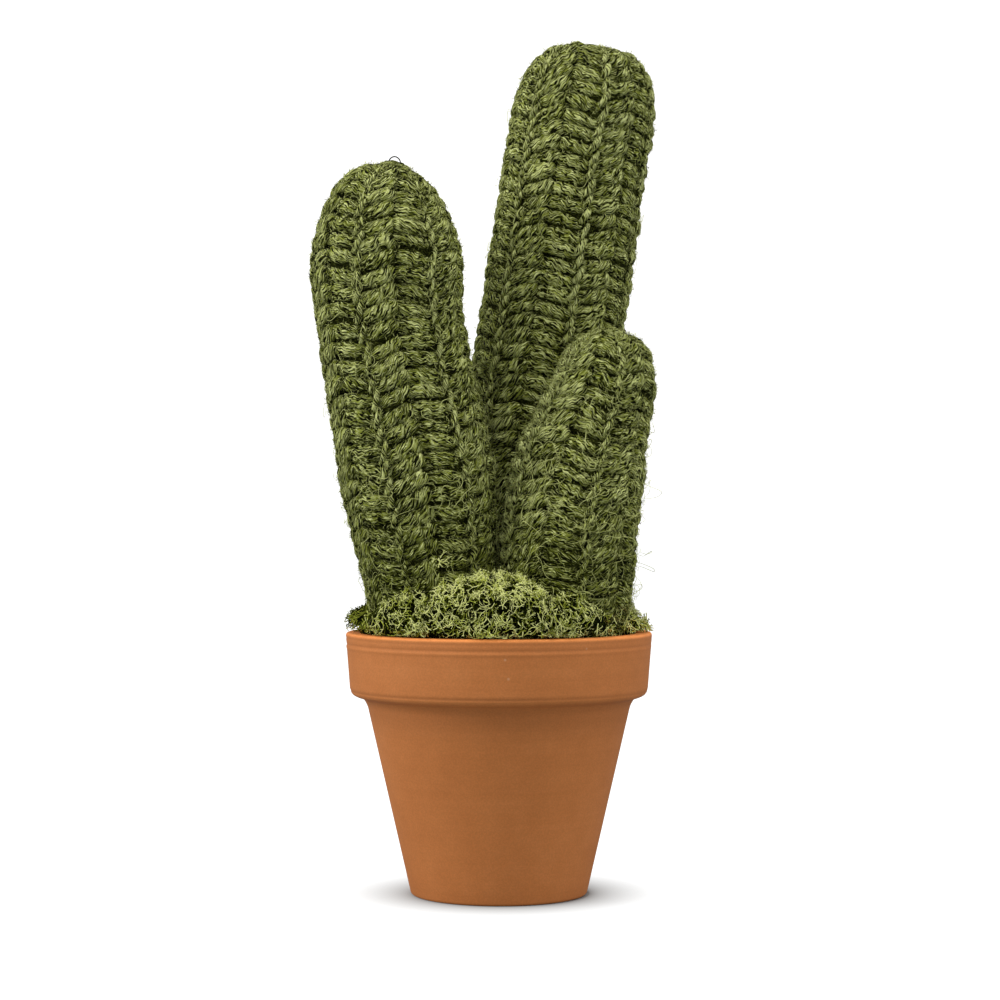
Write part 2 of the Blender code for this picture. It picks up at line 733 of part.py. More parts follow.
def make_moss(place, parent):
    """One clump of moss: tufts with lumpy cores and forked twigs, fused into one body."""
    sector = MOSS_SECTORS[place]
    rng = random.Random(MOSS_SEED + list(MOSS_SECTORS).index(place))
    name = "moss_" + place
    parts = []
    for angle in sector["tufts"]:
        heart = tuft_heart(sector, angle)
        parts.append(add_object(name, make_tuft_core(sector, heart, rng), parent, "moss"))
        parts += [add_object("twig", forked_twig(*twig), parent)
                  for twig in tuft_twigs(sector, heart, rng)]
    fuse(parts[0], parts[1:], name)
    return parts[0]


def main():
    clear_scene()
    axis = bpy.data.objects.new("pot_axis", None)
    axis.location = (POT_AXIS_X, 0.0, 0.0)
    bpy.context.scene.collection.objects.link(axis)
    bpy.context.view_layer.update()
    make_pot(axis)
    cutters = []
    for name in STEMS:
        make_cover(name, axis)
        cutter = make_stake_cutter(name, axis)
        cutters.append(cutter)
        make_filling(name, axis, cutter)
        make_stake(name, axis)
    make_foam(axis, cutters)
    for place in MOSS_SECTORS:
        make_moss(place, axis)


main()
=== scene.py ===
"""Looks of a crocheted cactus with three stuffed stems, in a terracotta pot dressed with moss.

Lengths are in metres and +Z is up. The front of the model faces -Y. Angles round the pot or a
stem are measured from the front towards +X. The stems, the pot and the moss follow the same
formulas as the solids that they stand for, worked out about the pot's axis.
"""

import math

import bpy
import numpy as np
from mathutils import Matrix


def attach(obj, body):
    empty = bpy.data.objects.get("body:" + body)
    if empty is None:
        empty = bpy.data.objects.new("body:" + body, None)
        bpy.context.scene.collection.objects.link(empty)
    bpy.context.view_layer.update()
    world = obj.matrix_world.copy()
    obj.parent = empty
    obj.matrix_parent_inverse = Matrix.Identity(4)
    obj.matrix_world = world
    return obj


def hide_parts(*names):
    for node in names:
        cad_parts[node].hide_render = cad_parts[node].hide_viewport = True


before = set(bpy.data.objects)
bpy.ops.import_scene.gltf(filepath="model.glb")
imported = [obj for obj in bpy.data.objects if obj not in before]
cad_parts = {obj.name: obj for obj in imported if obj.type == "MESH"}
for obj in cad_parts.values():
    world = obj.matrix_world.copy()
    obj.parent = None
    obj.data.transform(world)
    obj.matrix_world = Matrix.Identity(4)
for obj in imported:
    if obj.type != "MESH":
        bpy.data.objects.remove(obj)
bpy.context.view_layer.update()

# The seed of all the random draws, and a millimetre in metres
SEED = 7
MILLIMETRE = 0.001

# The photograph's frame: its width at the pot's axis, and the eye's distance, height and
# place beside that axis
FRAME_WIDTH = 0.375
EYE_DISTANCE = 0.964
EYE_HEIGHT = 0.1473
EYE_ASIDE = 0.0004
SENSOR_WIDTH = 36.0

# The studio: the strength of the white all round as light and as the background, and the
# glow over the floor, painted light that only the camera sees, which grows from none to full
# between two distances from its middle, so that near the pot's foot it leaves a contact shadow
# that is partly real and partly painted
SURROUND_LIGHT = 0.49
SURROUND_SEEN = 1.2
WHITE = (1.0, 1.0, 1.0, 1.0)
FLOOR_COLOUR = (0.28, 0.30, 0.30, 1.0)
FLOOR_REACH = 8.0
FLOOR_GLOW_REACH = (0.0325, 0.0660)
FLOOR_GLOW_BEND = 0.55
FLOOR_GLOW_MIDDLE = (0.0070, 0.0, 0.0)

# The soft square lights as (place, size, power), and the place that they all face
LIGHTS = {
    "key": ((-1.6, -0.45, 0.85), 0.7, 14.0),
    "fill": ((1.5, -0.4, 0.7), 1.0, 5.0),
    "top": ((0.1, -0.5, 1.7), 1.4, 12.0),
}
LIGHT_TARGET = (0.0, 0.0, 0.15)

# The pot: its upright axis, and the heights and radii of its outline
POT_AXIS_X = 0.0058
POT_HEIGHT = 0.098
POT_BASE_RADIUS = 0.0332
POT_NECK_RADIUS = 0.0492
POT_NECK_HEIGHT = 0.0706
RIM_LOWER_RADIUS = 0.0560
RIM_UPPER_RADIUS = 0.0574
RIM_LIP_HEIGHT = 0.0044
POT_FLOOR = 0.0065
POT_INNER_BASE_RADIUS = 0.0262
POT_INNER_NECK_RADIUS = 0.0442
POT_MOUTH_RADIUS = 0.0516
DRAIN_RADIUS = 0.0050
INNER_WALL_OPENS = (0.020, 0.040)

# Grooves round its outside as (height, width, depth), where a ridge has a depth under zero,
# and the turn at which they are deepest, in radians. Of their depth, the first share is the
# same all round, the second comes and goes with the turn, and the third is always left
GROOVES = ((0.0961, 0.0003, 0.00020), (0.0937, 0.0004, 0.00030), (0.0926, 0.0006, -0.00025),
           (0.0764, 0.0004, 0.00030))
GROOVE_DEEPEST = -0.45
GROOVE_SHARES = (0.45, 0.55, 0.1)

# The longest step of its outline on the rim and on the wall, the points of a rounded corner,
# the number of steps round, and how far from its inner wall its outside is at least
RIM_ROW = 0.0006
WALL_ROW = 0.0060
CORNER_POINTS = 6
POT_SIDES = 128
LEAST_WALL = 0.002

# Bands of painted light and shade round the pot as (height, half width, strength): a painted
# highlight on the rim's top edge, painted shade in the grooves and painted light on the ridge
# between them, painted light on the rim's lower rounding and a painted shadow under the rim.
# Then how much of that shows, with a share that is the same all round and one that soft
# patches add, chips as (x, y, z, size), and the colour of a chip and how strong it is
BANDS = ((0.0977, 0.0012, 3.2), (0.0961, 0.0004, -0.2), (0.0939, 0.0006, -0.30), (0.0926, 0.0006, 0.20),
         (0.0764, 0.0007, -0.5), (0.0749, 0.0016, 0.60), (0.0733, 0.0013, 0.40), (0.0690, 0.0110, -0.55))
BAND_SHARES = (0.14, 0.16)
CHIPS = ((0.0080, -0.0567, 0.0908, 0.0006), (0.0092, -0.0564, 0.0840, 0.0007),
         (0.0370, -0.0476, 0.0943, 0.0005), (0.0332, -0.0310, 0.0405, 0.0006))
CHIP_COLOUR = (0.80, 0.48, 0.26, 1.0)
CHIP_STRENGTH = 0.55

# How the stems stand: the gap between neighbours, the foot on the foam, how thick the cover
# is, the height that its rings begin to turn level at, how softly and closely stems press
# together, and the least radius that counts there
GAP = 0.0003
FOAM_TOP = 0.0800
STEM_FOOT = FOAM_TOP + GAP
COVER_THICKNESS = 0.0042
UPRIGHT_BELOW = 0.125
PRESS_SOFTNESS = 0.003
PRESS_ROOM = 0.0012
THINNEST_PRESSED = 0.002

# The points of a stem's outline, the short steps up its skin and round it, in radians, that
# give the way outwards, and how far short of the outline's end they stop
OUTLINE_POINTS = 900
WAY_STEP = 0.0001
TURN_STEP = 0.01
STEPS_END_SHORT = 0.0002

# The stems: number of ribs, angle of one chain line, height that the domed top begins at, how
# blunt it is, length of a stitch, how much lower than usual its strands lie, how thick and
# pale its chain lines are, how much light is painted on its left side, and (height, across,
# depth, radius) along the middle line
STEMS = {
    "left": {
        "ribs": 6,
        "chain_angle": -21.0,
        "dome_from": 0.227,
        "bluntness": 2.0,
        "stitch": 0.0061,
        "sunk": 0.0,
        "chain": 0.86,
        "line": (
            (STEM_FOOT, -0.0178, -0.0125, 0.0208),
            (0.1000, -0.0213, -0.0130, 0.0225),
            (0.1230, -0.0250, -0.0135, 0.0242),
            (0.1500, -0.0287, -0.0142, 0.0269),
            (0.1730, -0.0331, -0.0150, 0.0262),
            (0.1950, -0.0371, -0.0155, 0.0255),
            (0.2170, -0.0405, -0.0160, 0.0256),
            (0.2340, -0.0413, -0.0160, 0.0270),
            (0.2560, -0.0408, -0.0160, 0.0269),
            (0.2712, -0.0380, -0.0160, 0.0266),
        ),
    },
    "tall": {
        "ribs": 6,
        "chain_angle": 14.0,
        "dome_from": 0.286,
        "bluntness": 3.0,
        "stitch": 0.0056,
        "sunk": 0.0003,
        "chain": 1.05,
        "line": (
            (STEM_FOOT, 0.0025, 0.0245, 0.0230),
            (0.1000, 0.0042, 0.0253, 0.0248),
            (0.1250, 0.0070, 0.0260, 0.0262),
            (0.1600, 0.0122, 0.0265, 0.0267),
            (0.2000, 0.0182, 0.0270, 0.0264),
            (0.2400, 0.0242, 0.0275, 0.0263),
            (0.2800, 0.0301, 0.0280, 0.0257),
            (0.3010, 0.0337, 0.0280, 0.0258),
            (0.3213, 0.0359, 0.0280, 0.0258),
        ),
    },
    "small": {
        "ribs": 5,
        "chain_angle": 15.0,
        "dome_from": 0.188,
        "bluntness": 2.2,
        "stitch": 0.0058,
        "sunk": -0.0003,
        "chain": 0.84,
        "painted_light_side": 3.8,
        "line": (
            (STEM_FOOT, 0.0212, -0.0125, 0.0212),
            (0.1000, 0.0222, -0.0132, 0.0231),
            (0.1210, 0.0238, -0.0135, 0.0242),
            (0.1396, 0.0255, -0.0136, 0.0238),
            (0.1618, 0.0302, -0.0138, 0.0217),
            (0.1729, 0.0337, -0.0140, 0.0190),
            (0.1840, 0.0375, -0.0140, 0.0174),
            (0.1950, 0.0399, -0.0140, 0.0168),
            (0.2100, 0.0408, -0.0140, 0.0165),
        ),
    },
}

# The strands of one stitch. Each goes through points of (share of the rib from its chain line,
# stitches up the rib, height over the mean surface and radius, both in millimetres)
STRANDS = {
    "rising": ((-0.03, -0.06, -0.9, 2.1), (0.09, -0.10, -0.2, 2.8), (0.21, -0.06, 0.3, 3.15),
               (0.33, 0.08, 0.5, 3.35), (0.44, 0.32, 0.3, 3.2), (0.52, 0.54, -1.0, 2.3)),
    "falling": ((0.42, 0.16, -1.3, 2.3), (0.52, 0.20, -0.5, 2.9), (0.64, 0.15, 0.1, 3.15),
                (0.77, 0.04, 0.2, 3.05), (0.90, -0.06, -0.2, 2.6), (1.03, -0.10, -0.8, 2.0)),
    "chain": ((0.055, 0.84, -0.5, 0.8), (0.042, 0.56, 0.5, 1.15), (0.014, 0.22, 0.95, 1.3),
              (-0.018, -0.12, 0.85, 1.3), (-0.060, -0.36, 0.3, 1.05), (-0.110, -0.44, -0.7, 0.7)),
}

# Each kind of strand's twist, in turns a millimetre, and its height as a share of its width.
# The radii above go with a stitch of this length, and the fibres of one whole turn fit round
# a strand of the full radius
TWISTS = {"rising": -0.045, "falling": 0.015, "chain": -0.060}
STRAND_FLATNESS = 0.56
FLATNESS = {"rising": STRAND_FLATNESS, "falling": STRAND_FLATNESS, "chain": 0.95}
STITCH_FOR_RADII = 0.0061
FULL_RADIUS = 0.0031
STRAND_POINTS = 9
STRAND_SIDES = 9

# How far strands stray from their even places: across in ribs, along, bowed and tilted in
# stitches, out in metres, round in turns a millimetre, and in thickness and lumps as shares
UNEVEN = {"across": 0.012, "along": 0.035, "bowed": 0.05, "tilted": 0.08, "out": 0.00020,
          "twist": 0.012, "thickness": 0.08, "lumps": 0.05}

# Near a stem's tip, by the share of its greatest radius times each of these factors, strands
# are flatter and thinner, down to the least share, and sink in by up to so many metres
NEAR_TIP = {"flat_under": 1.8, "flattest": 0.3, "thin_under": 2.0, "thinnest": 0.45,
            "sink_under": 1.6, "sink": 0.0016}

# A strand's rise, which paints shade low between strands and light high on them, is 0 this
# far under the mean surface, and 1 after this span
RISE_FROM = 0.0012
RISE_SPAN = 0.0020

# The height of the first stitches, how far short of the tip the last stitches and strands
# are, the turn and width of a side with painted light, in degrees, and how a strand's rise
# counts: by a part all round it, and by another that is greatest on top, which paints light
# on its top and shade on its flanks
FIRST_STITCH_HEIGHT = 0.092
LAST_STITCH_SHORT = 0.0035
LAST_STRAND_SHORT = 0.0030
PAINTED_LIGHT_SIDE = (-78.0, 26.0)
FLANK_PAINTED_SHADE = (0.30, 0.78)

# The cover under the stitches: rows outside and inside, sides to a rib, how far it is over the
# mean surface, and its groove as (depth, width, radius under which it fades). The coil that
# closes a stem's top follows, with its height and thickness as (shares of the way in, values
# there), and how far short of the outline's end both stop
BACKING_ROWS = (70, 24)
BACKING_SIDES = 10
BACKING_RISE = 0.0001
BACKING_GROOVE = (0.0012, 0.1, 0.01)
GATHER_RADIUS = 0.0052
GATHER_TURNS = 2.6
GATHER_YARN_RADIUS = 0.0014
GATHER_OUT = ((0.0, 0.1, 1.0), (-0.0020, -0.0006, 0.0002))
GATHER_THICKNESS = ((0.0, 0.05, 0.9, 1.0), (0.5, 1.0, 0.9, 0.5))
GATHER_POINTS = 40
GATHER_TONE = 0.5
# The coil's rise, which sets its painted light as on the top of a strand
GATHER_RISE = 0.7
GATHER_TWIST = -0.05
GATHER_FLATNESS = 0.9
TIP_SHORT = 0.0004

# Loose wool on each stem: how many locks, single fibres and curls, and how far curls stand off
LOOSE_WOOL = {
    "left": {"wisps": 5000, "hairs": 16000, "curls": 260, "curls_stand": 0.0007},
    "tall": {"wisps": 6000, "hairs": 17500, "curls": 180, "curls_stand": 0.0005},
    "small": {"wisps": 3600, "hairs": 12500, "curls": 360, "curls_stand": 0.0018},
}
FIBRE_SIDES = 3

# Locks: how many of its strand's points one spans, where it may start, and the room past its
# end. How it drifts and rolls round the strand, in radians, and its distance from the strand's
# middle, in radii. Its own radius, and how far its ends lift
WISP_POINTS = 3
WISP_SPANS = (0.8, 2.3)
WISP_STARTS = (0.1, 1.0)
WISP_END_ROOM = 1.2
WISP_DRIFT = 0.45
WISP_ROLL = 1.45
WISP_REACH = (0.98, 1.05)
WISP_RADII = (0.00010, 0.00020)
WISP_LIFT = 0.00030

# The tones of dark, middling and pale locks. A lock is dark where its draw from 0 to 1 is under
# the first of the next two, and pale over the second
WISP_TONES = ((0.0, 0.2), (0.45, 0.75), (0.85, 1.0))
WISP_DARK_UNDER = 0.30
WISP_PALE_OVER = 0.80

# Single fibres: the roll of their roots round the strand, in radians, and their distance from
# its middle, in radii. How much they head outwards and any way, how much they droop, their
# lengths and radii, and the tones of dark and pale ones, with the share that is dark
HAIR_POINTS = 3
HAIR_ROLL = 1.4
HAIR_ROOT = 0.95
HAIR_OUT = (0.3, 1.3)
HAIR_STRAY = 0.8
HAIR_DROOP = 0.4
HAIR_LENGTHS = (0.0009, 0.0028)
HAIR_RADII = (0.00007, 0.00014)
HAIR_TONES = ((0.0, 0.25), (0.58, 1.0))
HAIR_DARK_SHARE = 0.22

# Curls: how far their heading swings, in radians, and how often, how their places spread up the
# stem, the room over the foot and under the tip, their steps, height over the skin, radii, how
# blunt they taper, and their tones
CURL_POINTS = 12
CURL_SWINGS = (1.0, 3.0)
CURL_WAVES = (2.0, 5.0)
CURL_PLACES = (1.0, 2.4)
CURLS_OVER_FOOT = 0.012
CURLS_UNDER_TIP = 0.010
CURL_STEPS = (0.0006, 0.0013)
CURL_OVER = 0.0021
CURL_RADII = (0.00007, 0.00012)
CURL_TAPER = 0.3
CURL_TONES = (0.8, 1.0)

# Stray fibres, each on a stem from one (height, turn) to another, with a rise between. Their
# height over the skin is the first of two, and more by the second halfway
STRAY_FIBRES = (
    ("small", (0.1250, -34.0), (0.1390, 10.0), 0.0012),
    ("small", (0.1090, 34.0), (0.1150, 56.0), 0.0030),
    ("small", (0.1520, -48.0), (0.1600, -20.0), 0.0010),
    ("left", (0.1430, 22.0), (0.1500, 44.0), 0.0015),
    ("tall", (0.1900, 5.0), (0.1960, 24.0), 0.0010),
)
STRAY_FIBRE_RADIUS = 0.00009
STRAY_FIBRE_POINTS = 9
STRAY_FIBRE_SIDES = 5
STRAY_FIBRE_OVER = (0.0024, 0.0008)
STRAY_FIBRE_TONES = (0.75, 1.0)

# The loop of thread as (place, half width, height, slant), and how far past half a turn each
# end is sunk in, in radians
THREAD_LOOP = ((-0.0383, -0.0200, 0.2708), 0.0022, 0.0026, 0.2)
THREAD_SUNK = 0.2
THREAD_RADIUS = 0.00025
THREAD_POINTS = 15
THREAD_SIDES = 6

# The crumb of moss at (stem, height, turn): its twigs against a clump's, its height over the
# skin, the width that its runners start in, and how much they are turned flat to the stem
MOSS_CRUMB = ("left", 0.1262, 9.0)
CRUMB_RUNNERS = 7
CRUMB_SIZE = 0.65
CRUMB_OVER = 0.0026
CRUMB_WIDTH = 0.0007
CRUMB_FLATTENED = 0.7

# What makes the wool paler, from a factor of 0, near black, to 1, the palest: a base, soft
# patches, the strand's own tone, which also holds painted light on one side of a stem, its
# height in the stitch, which paints shade low between strands and light on their tops,
# streaks and single pale fibres, which are partly painted glints. Single dark fibres take
# some off, partly as painted shade between fibres
WOOL_BASE = 0.190
WOOL_PATCHES = 0.06
WOOL_TONE = 0.08
WOOL_RISE_PAINTED_SHADE = 0.30
WOOL_STREAKS = 0.22
WOOL_PALE = 0.66
WOOL_DARK = 0.98

# The layers of fibres on a strand: how fast each changes along it, in millimetres, and round
# it, in turns, and a shift that keeps the layers apart. Then how thick the single fibres are,
# how far all of them wave, and the run of wool that each strand's start is drawn from
FIBRE_LAYERS = {"Streaks": (0.23, 12.0, 0.0), "Pale": (0.25, 21.0, 31.0), "Dark": (0.22, 19.0, 77.0)}
FIBRE_WIDTHS = {"Pale": 0.06, "Dark": 0.08}
FIBRE_WAVE = 0.24
FIBRE_RUN = 500

# The heights between which the wool is painted darker towards the foot, as painted shade from the moss and
# the other stems, and the sheen of fibres
SHADED_BELOW = (0.100, 0.165)
SHEEN_ROUGHNESS = 0.25
SHEEN_COLOUR = (0.80, 0.85, 0.50, 1.0)

# The moss: one clump for each sector of the pot's mouth, highest at its peak's angle, paler or
# darker by its painted light, and closer or looser by its spread
MOSS_SECTORS = {
    "front": {"from": -31.0, "to": 20.0, "peak": 0.0, "top": 0.1212, "spread": 0.74},
    "front_right": {"from": 20.0, "to": 47.0, "peak": 29.0, "top": 0.1156, "light": 0.93, "spread": 0.74},
    "right": {"from": 47.0, "to": 96.0, "peak": 72.0, "top": 0.1085, "light": 0.88, "spread": 0.80},
    "back_right": {"from": 96.0, "to": 150.0, "peak": 123.0, "top": 0.1130, "spread": 1.32},
    "back": {"from": 150.0, "to": 205.0, "peak": 177.0, "top": 0.1085},
    "back_left": {"from": 205.0, "to": 262.0, "peak": 233.0, "top": 0.1140, "spread": 1.32},
    "left": {"from": 262.0, "to": 302.0, "peak": 280.0, "top": 0.1112, "light": 0.50, "spread": 0.74},
    "front_left": {"from": 302.0, "to": 329.0, "peak": 322.0, "top": 0.1172, "light": 0.88, "spread": 0.74},
}
MOSS_FLOOR = FOAM_TOP + GAP
MOSS_REACH = 0.0582
MOSS_OVERLAP = 0.0020
MOSS_STEM_ROOM = 0.0014

# How far a clump's top falls to its sides and outwards, and the height of the waves on it
CLUMP_SIDE_FALL = 0.0050
CLUMP_OUTER_FALL = 0.0075
CLUMP_FALLS_FROM = 0.040
CLUMP_BUMP = 0.0007

# Where a clump's middle is looked for, out from the pot's axis and up, each with the span that
# is tried, and how many places are tried out, round and up. Then the rays from it, and the dark
# core, painted shade deep in the clump, by its depth under the clump's surface
CLUMP_MIDDLE_OUT = 0.0445
CLUMP_MIDDLE_OUT_SPAN = (-0.012, 0.006)
CLUMP_MIDDLE_HEIGHT = 0.0985
CLUMP_MIDDLE_HEIGHT_SPAN = (-0.008, 0.008)
CLUMP_MIDDLE_TRIES = (10, 9, 9)
CLUMP_LONGEST_RAY = 0.0300
RAY_STEPS = 60
RAYS = 6000
CORE_DEPTH = 0.0034
CORE_LEAST_REACH = 0.4
CORE_ROWS = 14
CORE_SIDES = 24

# Runners: their depth under the clump's surface, how much shallow ones prevail, the least share
# of a ray's reach that they start at, how they tilt outwards, their length, radius, the area
# that each has to itself, and the lowest place and least room for a start
RUNNER_DEPTHS = (0.0003, 0.0032)
RUNNER_DEPTH_POWER = 1.3
RUNNER_LEAST_REACH = 0.3
RUNNER_TILTS = (-0.1, 0.5)
RUNNER_LENGTHS = (0.0018, 0.0033)
RUNNER_RADIUS = 0.00019
RUNNER_AREA = 1.62e-6
RUNNER_LOWEST = 0.094
RUNNER_ROOM = 0.0002

# Fewer runners start in a gap at one turn, as (degrees, half width, share that is left)
CLUMP_GAP = (46.0, 0.0030, 0.25)

# Forks as (number, length, radius), how far the plane that they spread in strays, how widely
# they spread and how much they turn up, and the range of their lengths
FORKS = ((2, 0.0015, 0.00018), (2, 0.0010, 0.00019))
FORK_STRAY = 0.8
FORK_SPREADS = (0.4, 0.9)
FORK_UP = 0.15
FORK_LENGTHS = (0.7, 1.3)

# How far each fork may pass the clump's top, the places along a twig where it has a ring or an
# end, for runners and both forks, and how much it bends and tapers
TIPS_OVER = 0.0006
TWIG_SIDES = 3
TWIG_SHARES = ((-0.05, 0.0, 0.50, 0.93, 1.06), (-0.08, 0.0, 0.90, 1.10), (-0.15, 0.70, 1.12))
TWIG_BEND = 0.70
TWIG_TAPER = 0.15

# A runner's painted light falls with its depth, as painted shade deeper in: from the first of
# these, by the second at the full depth, and no lower than the third. Of it, runners show the
# first share, and each fork shows the second share more, so outer twigs are painted lighter
MOSS_LIGHT = (1.68, 1.88, 0.05)
FORK_LIGHT = (0.84, 0.08)

# How pale the moss is: a twig's tone times a base and soft patches. The core, near black as
# painted shade, is where the tone is under the third of these, and shows only a net of lines,
# as strong as the last says
MOSS_BASE = 0.70
MOSS_PATCHES = 0.40
CORE_TONE_UNDER = 0.01
CORE_NET = 0.18


def feed(tree, socket, value):
    """Links an output socket to an input, or sets the input to a value."""
    if isinstance(value, bpy.types.NodeSocket):
        tree.links.new(value, socket)
    else:
        socket.default_value = value


def add_node(tree, kind, inputs=None, **settings):
    """Adds a shader node. Each input is a value, or a socket that is linked to it."""
    made = tree.nodes.new("ShaderNode" + kind)
    for key, value in settings.items():
        setattr(made, key, value)
    for key, value in (inputs or {}).items():
        feed(tree, made.inputs[key], value)
    return made


def worked_out(tree, operation, first, second=0.0, third=0.0):
    """The output of a Math node."""
    return add_node(tree, "Math", {0: first, 1: second, 2: third}, operation=operation).outputs[0]


def weighted_sum(tree, base, *terms):
    """A base, plus each term's value times its weight."""
    total = base
    for value, weight in terms:
        total = worked_out(tree, "MULTIPLY_ADD", value, weight, total)
    return total


def stepped_colour(tree, factor, stops):
    """The output of a colour ramp with (position, colour) stops."""
    ramp = add_node(tree, "ValToRGB", {"Fac": factor})
    elements = ramp.color_ramp.elements
    while len(elements) < len(stops):
        elements.new(1.0)
    for element, (position, colour) in zip(elements, stops):
        element.position = position
        element.color = (*colour, 1.0)
    return ramp.outputs["Color"]


def colour_by(tree, shader, factor, stops):
    """Feeds the shader's colour with a colour ramp's output."""
    tree.links.new(stepped_colour(tree, factor, stops), shader.inputs["Base Color"])


def blended(tree, factor, first, second, kind="MIX"):
    """The output of a colour Mix node."""
    mix = add_node(tree, "Mix", data_type="RGBA", blend_type=kind)
    for place, value in ((0, factor), (6, first), (7, second)):
        feed(tree, mix.inputs[place], value)
    return mix.outputs[2]


def stretched(tree, vector, across, up):
    """A vector with its X and Y scaled by one factor and its Z by another."""
    parts = add_node(tree, "SeparateXYZ", {"Vector": vector})
    scaled = {axis: worked_out(tree, "MULTIPLY", parts.outputs[axis], scale)
              for axis, scale in (("X", across), ("Y", across), ("Z", up))}
    return add_node(tree, "CombineXYZ", scaled).outputs["Vector"]


def noise_at(tree, vector, scale, detail=2.0, roughness=0.5):
    """The value of a noise texture at a vector."""
    return add_node(tree, "TexNoise", {"Vector": vector, "Scale": scale, "Detail": detail,
                                       "Roughness": roughness}).outputs["Fac"]


def new_group(name, inputs, outputs):
    """A shader node group with named inputs and outputs. Gives the group and its end nodes."""
    group = bpy.data.node_groups.new(name, "ShaderNodeTree")
    for label, kind, value in inputs:
        socket = group.interface.new_socket(label, in_out="INPUT", socket_type=kind)
        if value is not None:
            socket.default_value = value
    for label, kind in outputs:
        group.interface.new_socket(label, in_out="OUTPUT", socket_type=kind)
    return group, group.nodes.new("NodeGroupInput"), group.nodes.new("NodeGroupOutput")


def make_patches_group():
    """Soft patches at two scales, from 0 to 1, which stain a colour unevenly."""
    group, given, result = new_group(
        "uneven patches", (("Vector", "NodeSocketVector", None), ("Scale", "NodeSocketFloat", 40.0)),
        (("Value", "NodeSocketFloat"),))
    broad = noise_at(group, given.outputs["Vector"], given.outputs["Scale"], detail=3.0)
    finer_scale = worked_out(group, "MULTIPLY", given.outputs["Scale"], 6.0)
    fine = noise_at(group, given.outputs["Vector"], finer_scale, detail=3.0)
    both = weighted_sum(group, 0.0, (broad, 0.6), (fine, 0.4))
    spread = add_node(group, "MapRange", {"Value": both, "From Min": 0.35, "From Max": 0.65})
    group.links.new(spread.outputs["Result"], result.inputs["Value"])
    return group


def thin_lines(tree, value, width):
    """Thin lines where a smooth value passes its middle: 1 on the line, 0 beside it."""
    off_middle = worked_out(tree, "ABSOLUTE", worked_out(tree, "SUBTRACT", value, 0.5))
    return add_node(tree, "MapRange", {"Value": off_middle, "From Min": 0.0, "From Max": width,
                                       "To Min": 1.0, "To Max": 0.0}).outputs["Result"]


def make_fibres_group():
    """Fibres along a strand, in the strand's own coordinates, slightly wavy.

    Each layer is noise at (length along, turns round + wave), stretched so that it changes
    slowly along the strand and quickly round it. Single fibres are the thin lines where such
    noise passes its middle.
    """
    group, given, result = new_group(
        "wool fibres", (("Strand", "NodeSocketVector", None),),
        (("Streaks", "NodeSocketFloat"), ("Pale", "NodeSocketFloat"), ("Dark", "NodeSocketFloat")))
    parts = add_node(group, "SeparateXYZ", {"Vector": given.outputs["Strand"]})
    wave = noise_at(group, given.outputs["Strand"], 0.30, detail=1.0)
    waved = worked_out(group, "MULTIPLY_ADD", wave, FIBRE_WAVE, parts.outputs["Y"])
    layers = {}
    for label, (slow, quick, shift) in FIBRE_LAYERS.items():
        vector = add_node(group, "CombineXYZ", {
            "X": worked_out(group, "MULTIPLY", parts.outputs["X"], slow),
            "Y": worked_out(group, "MULTIPLY", waved, quick), "Z": shift}).outputs["Vector"]
        layers[label] = noise_at(group, vector, 1.0, detail=1.0)
    spread = add_node(group, "MapRange", {"Value": layers["Streaks"], "From Min": 0.36, "From Max": 0.64})
    group.links.new(spread.outputs["Result"], result.inputs["Streaks"])
    for label, width in FIBRE_WIDTHS.items():
        group.links.new(thin_lines(group, layers[label], width), result.inputs[label])
    return group


def make_foot_shade_group():
    """A factor of painted shade, which is 1 over most of the height and falls smoothly towards the foot,
    where the moss and the other stems shade the wool.
    """
    group, given, result = new_group(
        "painted shade towards the foot", (("Vector", "NodeSocketVector", None), ("Least", "NodeSocketFloat", 0.7)),
        (("Value", "NodeSocketFloat"),))
    parts = add_node(group, "SeparateXYZ", {"Vector": given.outputs["Vector"]})
    shade = add_node(group, "MapRange", {
        "Value": parts.outputs["Z"], "From Min": SHADED_BELOW[0], "From Max": SHADED_BELOW[1],
        "To Min": given.outputs["Least"], "To Max": 1.0}, interpolation_type="SMOOTHSTEP")
    group.links.new(shade.outputs["Result"], result.inputs["Value"])
    return group


GROUPS = {}


def shared_group(name):
    """Gives a shared node group, built the first time that it is asked for."""
    makers = {"patches": make_patches_group, "fibres": make_fibres_group,
              "foot shade": make_foot_shade_group}
    if name not in GROUPS:
        GROUPS[name] = makers[name]()
    return GROUPS[name]


def add_group(tree, name, inputs):
    """Places a shared node group in a material."""
    placed = tree.nodes.new("ShaderNodeGroup")
    placed.node_tree = shared_group(name)
    for key, value in inputs.items():
        feed(tree, placed.inputs[key], value)
    return placed


def new_material(name, roughness, specular=0.25, sheen=0.0):
    """A material with its shader's constant values set. Gives it, its tree and its shader."""
    material = bpy.data.materials.new(name)
    material.use_nodes = True
    tree = material.node_tree
    shader = tree.nodes["Principled BSDF"]
    shader.inputs["Roughness"].default_value = roughness
    shader.inputs["Specular IOR Level"].default_value = specular
    if sheen:
        shader.inputs["Sheen Weight"].default_value = sheen
        shader.inputs["Sheen Roughness"].default_value = SHEEN_ROUGHNESS
        shader.inputs["Sheen Tint"].default_value = SHEEN_COLOUR
    return material, tree, shader


def set_bump(tree, shader, height, strength, distance):
    """Feeds a height into the shader's normal."""
    bump = add_node(tree, "Bump", {"Height": height, "Strength": strength, "Distance": distance})
    tree.links.new(bump.outputs["Normal"], shader.inputs["Normal"])


def attribute(tree, name):
    """The value of a mesh's own attribute."""
    return add_node(tree, "Attribute", attribute_name=name).outputs["Fac"]


def object_place(tree):
    """Object coordinates."""
    return add_node(tree, "TexCoord").outputs["Object"]


